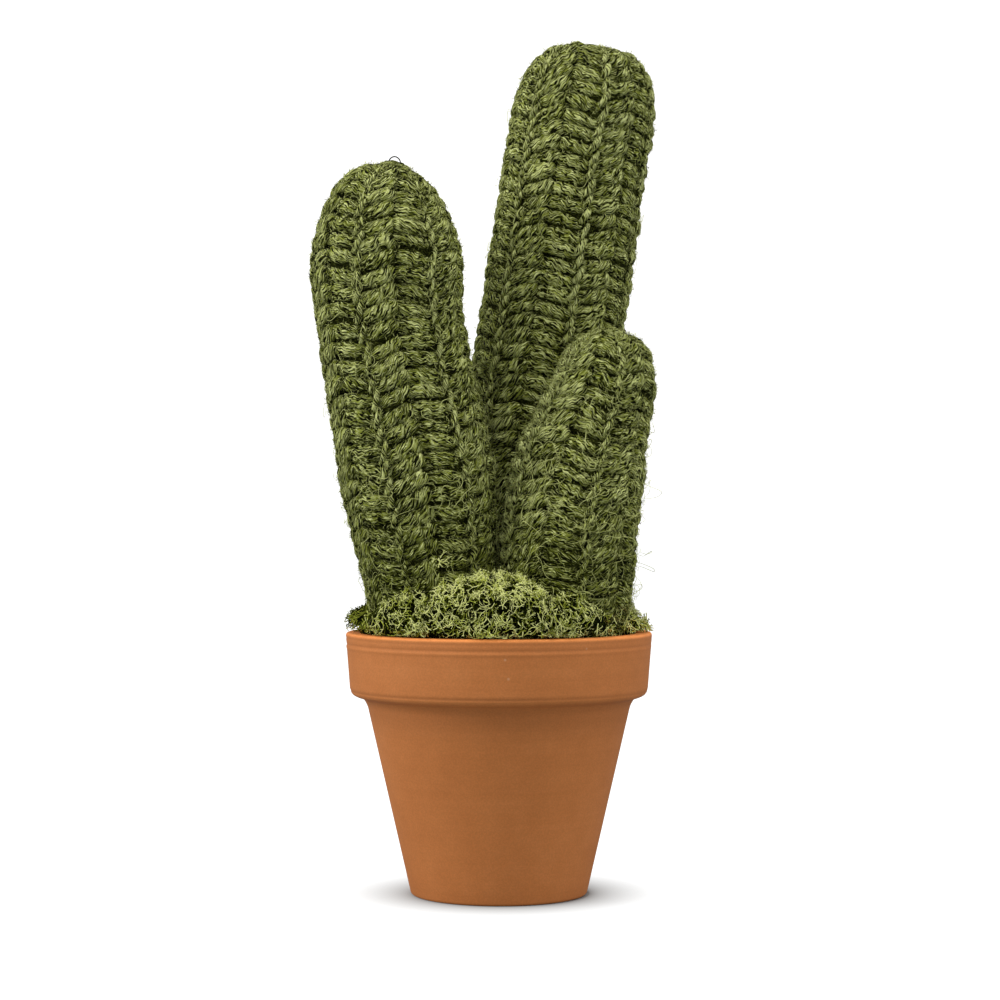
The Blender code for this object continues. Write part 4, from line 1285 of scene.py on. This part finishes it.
def hairs(strands, amount, rng):
    """Loose single fibres, which start on a strand's upper side and bend away over it.

    Point = root + size * (heading * share + curl * half the share squared).
    """
    own = rng.integers(0, len(strands["paths"]), amount)
    at = rng.uniform(1.0, STRAND_POINTS - 2.0, amount)
    point, radius, normal, along, side = along_strands(strands, own, at)
    roll = rng.uniform(-HAIR_ROLL, HAIR_ROLL, (amount, 1))
    lifted = normal * np.cos(roll) * STRAND_FLATNESS + side * np.sin(roll)
    root = point + lifted * radius[:, None] * HAIR_ROOT
    heading = (along * rng.uniform(-1.0, 1.0, (amount, 1)) + lifted * rng.uniform(*HAIR_OUT, (amount, 1))
               + random_directions(rng, amount) * HAIR_STRAY)
    heading = heading / lengths(heading)
    curl = np.cross(heading, random_directions(rng, amount)) - HAIR_DROOP * normal
    size = rng.uniform(*HAIR_LENGTHS, (amount, 1))
    share = np.linspace(0, 1, HAIR_POINTS)[None, :, None]
    paths = root[:, None] + (heading * size)[:, None] * share + (curl * size)[:, None] * 0.5 * share ** 2
    radii = rng.uniform(*HAIR_RADII, (amount, 1)) * open_ended(HAIR_POINTS)
    outward = any_outward(rng, paths)
    is_dark = rng.random((amount, 1)) < HAIR_DARK_SHARE
    dark, pale = (rng.uniform(*tones, (amount, 1)) for tones in HAIR_TONES)
    tone = np.where(is_dark, dark, pale)
    return paths, radii, outward, tone


def make_fuzz(name, strands, material, rng):
    """The locks and loose fibres on one stem's strands."""
    amounts = LOOSE_WOOL[name]
    for label, maker, amount in (("wisps_", wisps, amounts["wisps"]), ("fuzz_", hairs, amounts["hairs"])):
        paths, radii, outward, tone = maker(strands, amount, rng)
        add_tubes(label + name, paths, radii, outward, FIBRE_SIDES, material,
                  {"tone": np.broadcast_to(tone, radii.shape)})


def make_curls(name, material, rng):
    """Long curly fibres that wander over a stem's stitches.

    The heading of a curl swings one way and then the other as it goes, as a sine does, and
    some lift off the stitches halfway. Most lie in the lower part of the stem.
    """
    outline = OUTLINES[name]
    amount = LOOSE_WOOL[name]["curls"]
    share = np.linspace(0, 1, CURL_POINTS)[None, :]
    start = rng.uniform(0.0, 2 * math.pi, (amount, 1))
    swing = rng.uniform(*CURL_SWINGS, (amount, 1)) * rng.choice((-1.0, 1.0), (amount, 1))
    heading = start + swing * np.sin(share * rng.uniform(*CURL_WAVES, (amount, 1)))
    step = rng.uniform(*CURL_STEPS, (amount, 1))
    low = np.interp(FIRST_STITCH_HEIGHT + CURLS_OVER_FOOT, outline["height"], outline["way"])
    high = outline["way"][-1] - CURLS_UNDER_TIP
    place = rng.beta(*CURL_PLACES, (amount, 1))
    way = low + (high - low) * place + np.cumsum(step * np.sin(heading), axis=1)
    way = np.minimum(way, high)
    radius = np.interp(way, outline["way"], outline["radius"])
    turn = rng.uniform(0, 2 * math.pi, (amount, 1)) + np.cumsum(step * np.cos(heading) / radius, axis=1)
    standing = rng.exponential(LOOSE_WOOL[name]["curls_stand"], (amount, 1))
    lift = standing * np.sin(share * math.pi) + CURL_OVER
    paths = over_stem(name, way, turn, lift)[0]
    taper = np.sin(share * math.pi) ** CURL_TAPER
    radii = rng.uniform(*CURL_RADII, (amount, 1)) * taper
    outward = any_outward(rng, paths)
    tone = np.broadcast_to(rng.uniform(*CURL_TONES, (amount, 1)), radii.shape)
    add_tubes("curls_" + name, paths, radii, outward, FIBRE_SIDES, material, {"tone": tone})


def make_stray_fibres(material, rng):
    """Single long fibres that have come loose and lie over the stems.

    Height and turn change evenly from end to end, with a half wave on the height, and another
    half wave lifts the middle off the stem.
    """
    paths = []
    share = np.linspace(0, 1, STRAY_FIBRE_POINTS)
    hump = np.sin(share * math.pi)
    for name, low, high, bulge in STRAY_FIBRES:
        outline = OUTLINES[name]
        height = low[0] + (high[0] - low[0]) * share + bulge * hump
        turn = np.radians(low[1] + (high[1] - low[1]) * share)
        way = np.interp(height, outline["height"], outline["way"])
        over = STRAY_FIBRE_OVER[0] + STRAY_FIBRE_OVER[1] * hump
        paths.append(over_stem(name, way, turn, over)[0])
    paths = np.array(paths)
    radii = STRAY_FIBRE_RADIUS * open_ended(STRAY_FIBRE_POINTS) * np.ones((len(paths), 1))
    outward = any_outward(rng, paths)
    tone = np.broadcast_to(rng.uniform(*STRAY_FIBRE_TONES, (len(paths), 1)), radii.shape)
    add_tubes("stray_fibres", paths, radii, outward, STRAY_FIBRE_SIDES, material, {"tone": tone})


def make_thread_loop(material):
    """The loop of sewing thread that stands on the left stem's tip.

    Its line is half an ellipse and a little more, which sinks both of its ends in.
    """
    turn = np.linspace(-THREAD_SUNK, math.pi + THREAD_SUNK, THREAD_POINTS)
    place, width, height, slant = THREAD_LOOP
    offset = np.stack((width * np.cos(turn), slant * width * np.cos(turn), height * np.sin(turn)), -1)
    paths = (np.array(place) + offset)[None]
    radii = THREAD_RADIUS * open_ended(THREAD_POINTS)[None]
    outward = np.broadcast_to(np.array((0.0, -1.0, 0.0)), paths.shape)
    add_tubes("sewing_thread_loop", paths, radii, outward, THREAD_SIDES, material, {})


def moss_room(points, sector, over=0.0):
    """How far each point of the moss is from the nearest thing that it must keep clear of.

    That is the three stems, the pot's wall and rim, the foam, the sector's two sides, the
    reach over the rim, and the clump's own top, which falls away from its peak to its sides
    and outwards, with waves of sin(900 x + 1) + sin(1100 y + 400 x) on it. Room is negative
    inside any of them. Over is how far above its top the clump may reach.
    """
    x, y, z = points[..., 0], points[..., 1], points[..., 2]
    distance = np.hypot(x, y)
    room = np.minimum(z - MOSS_FLOOR, MOSS_REACH - distance)
    start, end, peak = (math.radians(sector[key]) for key in ("from", "to", "peak"))
    turn = np.arctan2(x, -y) - peak
    turn = np.arctan2(np.sin(turn), np.cos(turn))
    aside = turn / np.where(turn > 0, end - peak, peak - start)
    outer = np.clip((distance - CLUMP_FALLS_FROM) / (MOSS_REACH - CLUMP_FALLS_FROM), 0, 1)
    bumps = CLUMP_BUMP * (np.sin(x * 900 + 1.0) + np.sin(y * 1100 + x * 400))
    top = sector["top"] - CLUMP_SIDE_FALL * aside ** 2 - CLUMP_OUTER_FALL * outer ** 2 + bumps + over
    room = np.minimum(room, top - z)
    inside_wall = pot_inner_radius(np.minimum(z, POT_HEIGHT)) - GAP - distance
    room = np.minimum(room, np.maximum(inside_wall, z - POT_HEIGHT - GAP))
    for stem in STEMS.values():
        stem_x, stem_y = stem_middle(stem, z)
        reach = stem_radius(stem, z) + MOSS_STEM_ROOM
        room = np.minimum(room, np.hypot(x - stem_x, y - stem_y) - reach)
    for angle, side in ((start, 1.0), (end, -1.0)):
        from_side = side * (x * math.cos(angle) + y * math.sin(angle))
        room = np.minimum(room, from_side + MOSS_OVERLAP)
    return room


def clump_middle(sector):
    """The roomiest place of a clump, which its rays start from."""
    outs, turns, levels = CLUMP_MIDDLE_TRIES
    out = np.linspace(*(CLUMP_MIDDLE_OUT + off for off in CLUMP_MIDDLE_OUT_SPAN), outs)
    turn = np.radians(np.linspace(sector["from"], sector["to"], turns + 2)[1:-1])
    height = np.linspace(*(CLUMP_MIDDLE_HEIGHT + off for off in CLUMP_MIDDLE_HEIGHT_SPAN), levels)
    out, turn, height = np.meshgrid(out, turn, height, indexing="ij")
    places = np.stack((out * np.sin(turn), -out * np.cos(turn), height), axis=-1).reshape(-1, 3)
    return places[np.argmax(moss_room(places, sector))]


def ray_reach(middle, directions, sector):
    """How far each ray from a clump's middle goes before it runs out of room."""
    steps = np.linspace(0.0, CLUMP_LONGEST_RAY, RAY_STEPS)
    places = middle + directions[:, None, :] * steps[None, :, None]
    blocked = moss_room(places, sector) < 0.0
    first = np.where(blocked.any(axis=1), blocked.argmax(axis=1), RAY_STEPS)
    return steps[np.maximum(first - 1, 1)]


def even_directions(count):
    """Unit vectors in a spiral over the sphere, each in an equal share of its area."""
    height = 1 - 2 * (np.arange(count) + 0.5) / count
    turn = np.arange(count) * math.pi * (3 - math.sqrt(5))
    wide = np.sqrt(1 - height * height)
    return np.stack((wide * np.cos(turn), wide * np.sin(turn), height), axis=-1)


def runner_starts(middle, sector, rng):
    """Where runners start: just under the clump's surface, evenly for its area.

    The rays from the middle are even over the sphere. The area that each stands for is summed
    from ray to ray, and a runner starts whenever the sum passes one more runner's share. In
    the gap only some of them stay.
    """
    draws = even_directions(RAYS)
    reach = ray_reach(middle, draws, sector)
    area = 4 * math.pi * reach ** 2 / RAYS
    shallow, deep = RUNNER_DEPTHS
    depth = shallow + (deep - shallow) * rng.random(RAYS) ** RUNNER_DEPTH_POWER
    starts = middle + draws * np.maximum(reach - depth, RUNNER_LEAST_REACH * reach)[:, None]
    share = RUNNER_AREA * sector.get("spread", 1.0)
    kept = np.diff(np.floor(np.cumsum(area) / share), prepend=0.0) > 0
    kept &= (starts[:, 2] > RUNNER_LOWEST) & (moss_room(starts, sector) > RUNNER_ROOM)
    gap_turn = math.radians(CLUMP_GAP[0])
    gap_width, gap_share = CLUMP_GAP[1:]
    aside = starts[:, 0] * math.cos(gap_turn) + starts[:, 1] * math.sin(gap_turn)
    ahead = starts[:, 0] * math.sin(gap_turn) - starts[:, 1] * math.cos(gap_turn)
    kept &= (np.abs(aside) > gap_width) | (ahead < 0) | (rng.random(RAYS) < gap_share)
    return starts[kept], draws[kept], depth[kept]


def grow_twigs(starts, headings, outward, light, size, sector, rng):
    """Runners that fork, and forks that fork again, from each start along its heading.

    Gives the starts, ends, radius and tones of each generation. A twig that would run out of
    the sector's room isn't grown, and without a sector all of them are.
    """
    ends = starts + headings * rng.uniform(*RUNNER_LENGTHS, (len(starts), 1)) * size
    grown = []
    levels = ((1, 0.0, RUNNER_RADIUS),) + FORKS
    for level, (children, length, radius) in enumerate(levels):
        if level:
            starts = np.repeat(ends, children, axis=0)
            headings = np.repeat(headings, children, axis=0)
            outward = np.repeat(outward, children, axis=0)
            light = np.repeat(light, children)
            beside = np.cross(headings, outward + random_directions(rng, len(starts)) * FORK_STRAY)
            beside = beside / lengths(beside) * np.tile((1.0, -1.0), len(starts) // 2)[:, None]
            spread = beside * rng.uniform(*FORK_SPREADS, (len(starts), 1))
            headings = headings + spread + outward * FORK_UP * level
            headings = headings / lengths(headings)
            ends = starts + headings * length * rng.uniform(*FORK_LENGTHS, (len(starts), 1)) * size
        if sector:
            keep = moss_room(ends, sector, TIPS_OVER * level) > 0.0
            starts, ends, headings = starts[keep], ends[keep], headings[keep]
            outward, light = outward[keep], light[keep]
        grown.append((starts, ends, radius, light * (FORK_LIGHT[0] + FORK_LIGHT[1] * level)))
    return grown


def grow_moss(middle, sector, rng):
    """The twigs of a clump, from runners that lie along its surface. Deeper ones are painted darker, as
    shade.
    """
    starts, outward, depth = runner_starts(middle, sector, rng)
    full, fall, least = MOSS_LIGHT
    # Painted light: deeper runners are darker, and each sector is paler or darker by its light
    light = np.clip(full - fall * depth / RUNNER_DEPTHS[1], least, 1.0) * sector.get("light", 1.0)
    flat = np.cross(outward, random_directions(rng, len(starts)))
    headings = flat / lengths(flat) + outward * rng.uniform(*RUNNER_TILTS, (len(starts), 1))
    return grow_twigs(starts, headings / lengths(headings), outward, light, 1.0, sector, rng)


def twig_surfaces(generations, rng):
    """Points, faces and tones of twigs: tubes with blunt ends, each bent to one side.

    Point on a twig's line = start + span * share + bend * share * (1 - share).
    """
    points, quads, fans, tones = [], [], [], []
    first = 0
    for level, (starts, ends, radius, light) in enumerate(generations):
        shares = np.array(TWIG_SHARES[level])
        share = shares[None, :, None]
        span = ends - starts
        bend = np.cross(span, random_directions(rng, len(span))) * TWIG_BEND
        paths = starts[:, None] + span[:, None] * share + bend[:, None] * share * (1 - share)
        taper = (1.0 - TWIG_TAPER * shares) * open_ended(len(shares))
        radii = radius * taper * np.ones((len(span), 1))
        rings, low, high = tube_surface(paths, radii, any_outward(rng, paths), TWIG_SIDES)
        count, rows = rings.shape[:2]
        made = np.concatenate((rings.reshape(count, -1, 3), low[:, None], high[:, None]), axis=1)
        level_quads, level_fans, _ = closed_grid(count, rows, TWIG_SIDES)
        points.append(made.reshape(-1, 3))
        quads.append(level_quads + first)
        fans.append(level_fans + first)
        tones.append(np.repeat(light, made.shape[1]))
        first += len(points[-1])
    return [np.concatenate(part) for part in (points, quads, fans, tones)]


def core_points(middle, sector):
    """The dark core of a clump, which stands for the shade deep in it: a closed surface, where
    each ray from the clump's middle ends a core's depth short of its reach."""
    levels = np.radians(np.linspace(-90, 90, CORE_ROWS + 2)[1:-1])
    turns = np.arange(CORE_SIDES) * 2 * math.pi / CORE_SIDES
    level, turn = np.meshgrid(levels, turns, indexing="ij")
    directions = np.stack((np.cos(level) * np.cos(turn), np.cos(level) * np.sin(turn),
                           np.sin(level)), axis=-1).reshape(-1, 3)
    directions = np.concatenate((directions, ((0.0, 0.0, -1.0), (0.0, 0.0, 1.0))))
    reach = ray_reach(middle, directions, sector)
    return middle + directions * np.maximum(reach - CORE_DEPTH, CORE_LEAST_REACH * reach)[:, None]


def make_moss(place, material, rng):
    """One clump of moss: its dark core, which stands for the shade deep in it, under a net of fine pale
    twigs.
    """
    sector = MOSS_SECTORS[place]
    middle = clump_middle(sector)
    points, quads, fans, tone = twig_surfaces(grow_moss(middle, sector, rng), rng)
    core_quads, core_fans, _ = closed_grid(1, CORE_ROWS, CORE_SIDES)
    core = core_points(middle, sector)
    piece = add_piece("reindeer_moss_" + place, np.concatenate((points, core)),
                      np.concatenate((quads, core_quads + len(points))),
                      np.concatenate((fans, core_fans + len(points))), material,
                      marks={"tone": np.concatenate((tone, np.zeros(len(core))))})
    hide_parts("moss_" + place)


def make_moss_crumb(material, rng):
    """A crumb of moss that is caught in the wool: a few forked twigs."""
    name, height, angle = MOSS_CRUMB
    outline = OUTLINES[name]
    way = np.interp([height], outline["height"], outline["way"])
    place, normal = over_stem(name, way, np.radians([angle]), np.array([CRUMB_OVER]))
    headings = random_directions(rng, CRUMB_RUNNERS)
    headings -= CRUMB_FLATTENED * (headings @ normal[0])[:, None] * normal
    starts = place + random_directions(rng, CRUMB_RUNNERS) * CRUMB_WIDTH
    outward = np.repeat(normal, CRUMB_RUNNERS, axis=0)
    twigs = grow_twigs(starts, headings / lengths(headings), outward, np.ones(CRUMB_RUNNERS),
                       CRUMB_SIZE, None, rng)
    points, quads, fans, tone = twig_surfaces(twigs, rng)
    add_piece("reindeer_moss_crumb", points, quads, fans, material, marks={"tone": tone})


def pot_outline():
    """The pot's outline from the drain hole round the outside to the drain hole again.

    Its corners are (radius, height, rounding). A rounded corner is the curve before * (1 -
    share)^2 + corner * 2 share * (1 - share) + after * share^2. The straight runs between
    are split finely where the grooves are.
    """
    lip = POT_NECK_HEIGHT + RIM_LIP_HEIGHT
    corners = (
        (DRAIN_RADIUS, 0.0, 0.0006), (POT_BASE_RADIUS - 0.0003, 0.0, 0.0012),
        (POT_NECK_RADIUS, POT_NECK_HEIGHT, 0.0012), (POT_NECK_RADIUS + 0.0015, lip - 0.0018, 0.0010),
        (RIM_LOWER_RADIUS - 0.0004, lip - 0.0002, 0.0024), (RIM_UPPER_RADIUS, POT_HEIGHT, 0.0015),
        (POT_MOUTH_RADIUS, POT_HEIGHT, 0.0014), (POT_INNER_NECK_RADIUS, POT_NECK_HEIGHT, 0.002),
        (POT_INNER_BASE_RADIUS, POT_FLOOR, 0.003), (DRAIN_RADIUS, POT_FLOOR, 0.0006))
    points = []
    table = np.array(corners)
    for index, rounding in enumerate(table[:, 2]):
        corner = table[index, :2]
        before = table[index - 1, :2] - corner
        after = table[(index + 1) % len(corners), :2] - corner
        before_end = corner + before / np.hypot(*before) * rounding
        after_end = corner + after / np.hypot(*after) * rounding
        share = np.linspace(0, 1, CORNER_POINTS)[:, None]
        points.append(before_end * (1 - share) ** 2 + corner * 2 * share * (1 - share)
                      + after_end * share ** 2)
    outline = np.concatenate(points)
    pieces = []
    for start, end in zip(outline, np.roll(outline, -1, axis=0)):
        on_rim = min(start[0], end[0]) > POT_MOUTH_RADIUS and max(start[1], end[1]) > POT_NECK_HEIGHT
        steps = math.ceil(np.hypot(*(end - start)) / (RIM_ROW if on_rim else WALL_ROW))
        pieces.append(start + (end - start) * (np.arange(steps) / steps)[:, None])
    return np.concatenate(pieces)


def make_pot(material):
    """The pot, turned about its axis from its outline.

    A groove takes depth * exp(-((height - its height) / width)^2) off the radius of the outside.
    """
    outline = pot_outline()
    sides = POT_SIDES
    turn = np.arange(sides) * 2 * math.pi / sides
    radius = outline[:, 0][:, None]
    height = outline[:, 1][:, None] + 0 * turn
    outside = (radius > POT_INNER_NECK_RADIUS) & (radius > pot_inner_radius(height) + LEAST_WALL)
    grooves = sum(depth * np.exp(-((height - at) / width) ** 2) for at, width, depth in GROOVES)
    even, uneven, least = GROOVE_SHARES
    grooves = grooves * np.clip(even + uneven * np.cos(turn - GROOVE_DEEPEST), least, 1.0)
    radius = radius - grooves * outside
    points = np.stack((radius * np.sin(turn), -radius * np.cos(turn), height), axis=-1)
    rows = len(outline)
    row, side = np.meshgrid(np.arange(rows), np.arange(sides), indexing="ij")
    next_row, next_side = (row + 1) % rows, (side + 1) % sides
    quads = np.stack((row * sides + side, row * sides + next_side, next_row * sides + next_side,
                      next_row * sides + side), axis=-1).reshape(-1, 4)
    piece = add_piece("terracotta_pot", points, quads, np.zeros((0, 3), int), material)
    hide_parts("pot")


def dress_hidden_pieces():
    """Gives the foam, the stuffing and the stakes, which keep their own meshes, their finish."""
    finishes = {"foam_block": foam_material(), "stuffing": stuffing_material(), "stake": wood_material()}
    for node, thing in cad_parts.items():
        for start, material in finishes.items():
            if node.startswith(start):
                thing.data.materials.clear()
                thing.data.materials.append(material)


def add_floor():
    """A wide pale floor, which the camera sees run into the white background.

    The camera sees a white glow over it, painted light that grows with the distance from the pot, so that
    the contact shadow round the pot's foot is partly real and partly painted.
    """
    material, tree, shader = new_material("white floor", 0.9)
    shader.inputs["Base Color"].default_value = FLOOR_COLOUR
    shader.inputs["Emission Color"].default_value = WHITE
    # Painted light: the glow fades near the pot, which leaves a partly painted contact shadow
    distance = add_node(tree, "VectorMath", {0: object_place(tree), 1: FLOOR_GLOW_MIDDLE},
                        operation="DISTANCE").outputs["Value"]
    share = add_node(tree, "MapRange", {
        "Value": distance, "From Min": FLOOR_GLOW_REACH[0], "From Max": FLOOR_GLOW_REACH[1]})
    glow = worked_out(tree, "POWER", share.outputs["Result"], FLOOR_GLOW_BEND)
    seen = add_node(tree, "LightPath").outputs["Is Camera Ray"]
    strength = worked_out(tree, "MULTIPLY", glow, seen)
    tree.links.new(strength, shader.inputs["Emission Strength"])
    mesh = bpy.data.meshes.new("floor")
    corners = [(across * FLOOR_REACH, deep * FLOOR_REACH, 0)
               for across, deep in ((-1, -1), (1, -1), (1, 1), (-1, 1))]
    mesh.from_pydata(corners, [], [(0, 1, 2, 3)])
    mesh.materials.append(material)
    floor = bpy.data.objects.new("floor", mesh)
    bpy.context.scene.collection.objects.link(floor)


def add_world():
    """A white background, which lights the object less than the camera sees it."""
    world = bpy.data.worlds.new("studio")
    bpy.context.scene.world = world
    world.use_nodes = True
    tree = world.node_tree
    background = tree.nodes["Background"]
    path = add_node(tree, "LightPath")
    strength = add_node(tree, "MapRange", {"Value": path.outputs["Is Camera Ray"],
                                           "To Min": SURROUND_LIGHT, "To Max": SURROUND_SEEN})
    background.inputs["Color"].default_value = WHITE
    tree.links.new(strength.outputs["Result"], background.inputs["Strength"])


def add_light(name, place, target, size, power):
    """A soft square light that faces a target."""
    data = bpy.data.lights.new(name, "AREA")
    data.size = size
    data.energy = power
    light = bpy.data.objects.new(name, data)
    light.location = place
    way = np.array(target) - np.array(place)
    light.rotation_euler = (math.atan2(math.hypot(way[0], way[1]), -way[2]), 0.0,
                            math.atan2(way[1], way[0]) - math.pi / 2)
    bpy.context.scene.collection.objects.link(light)


def add_camera():
    """The photograph's view: level, from in front of the pot."""
    data = bpy.data.cameras.new("camera")
    data.sensor_width = SENSOR_WIDTH
    data.lens = SENSOR_WIDTH * EYE_DISTANCE / FRAME_WIDTH
    camera = bpy.data.objects.new("camera", data)
    camera.location = (POT_AXIS_X + EYE_ASIDE, -EYE_DISTANCE, EYE_HEIGHT)
    camera.rotation_euler = (math.pi / 2, 0.0, 0.0)
    bpy.context.scene.collection.objects.link(camera)
    bpy.context.scene.camera = camera


def main():
    """Makes all the pieces, then the studio. One seeded generator gives every random draw."""
    rng = np.random.default_rng(SEED)
    yarn = yarn_material()
    backing = backing_material()
    fuzz = fuzz_material()
    moss = moss_material()
    for name in STEMS:
        strands = make_strands(name, rng)
        make_backing(name, backing)
        make_stitches(name, strands, yarn, rng)
        make_gathered_tip(name, yarn, rng)
        make_curls(name, fuzz, rng)
        make_fuzz(name, strands, fuzz, rng)
    make_stray_fibres(fuzz, rng)
    make_thread_loop(thread_material())
    for place in MOSS_SECTORS:
        make_moss(place, moss, rng)
    make_moss_crumb(moss, rng)
    make_pot(terracotta_material())
    dress_hidden_pieces()
    add_floor()
    add_world()
    for name, (place, size, power) in LIGHTS.items():
        add_light(name, place, LIGHT_TARGET, size, power)
    add_camera()
    bpy.context.scene.view_settings.view_transform = "Standard"


main()
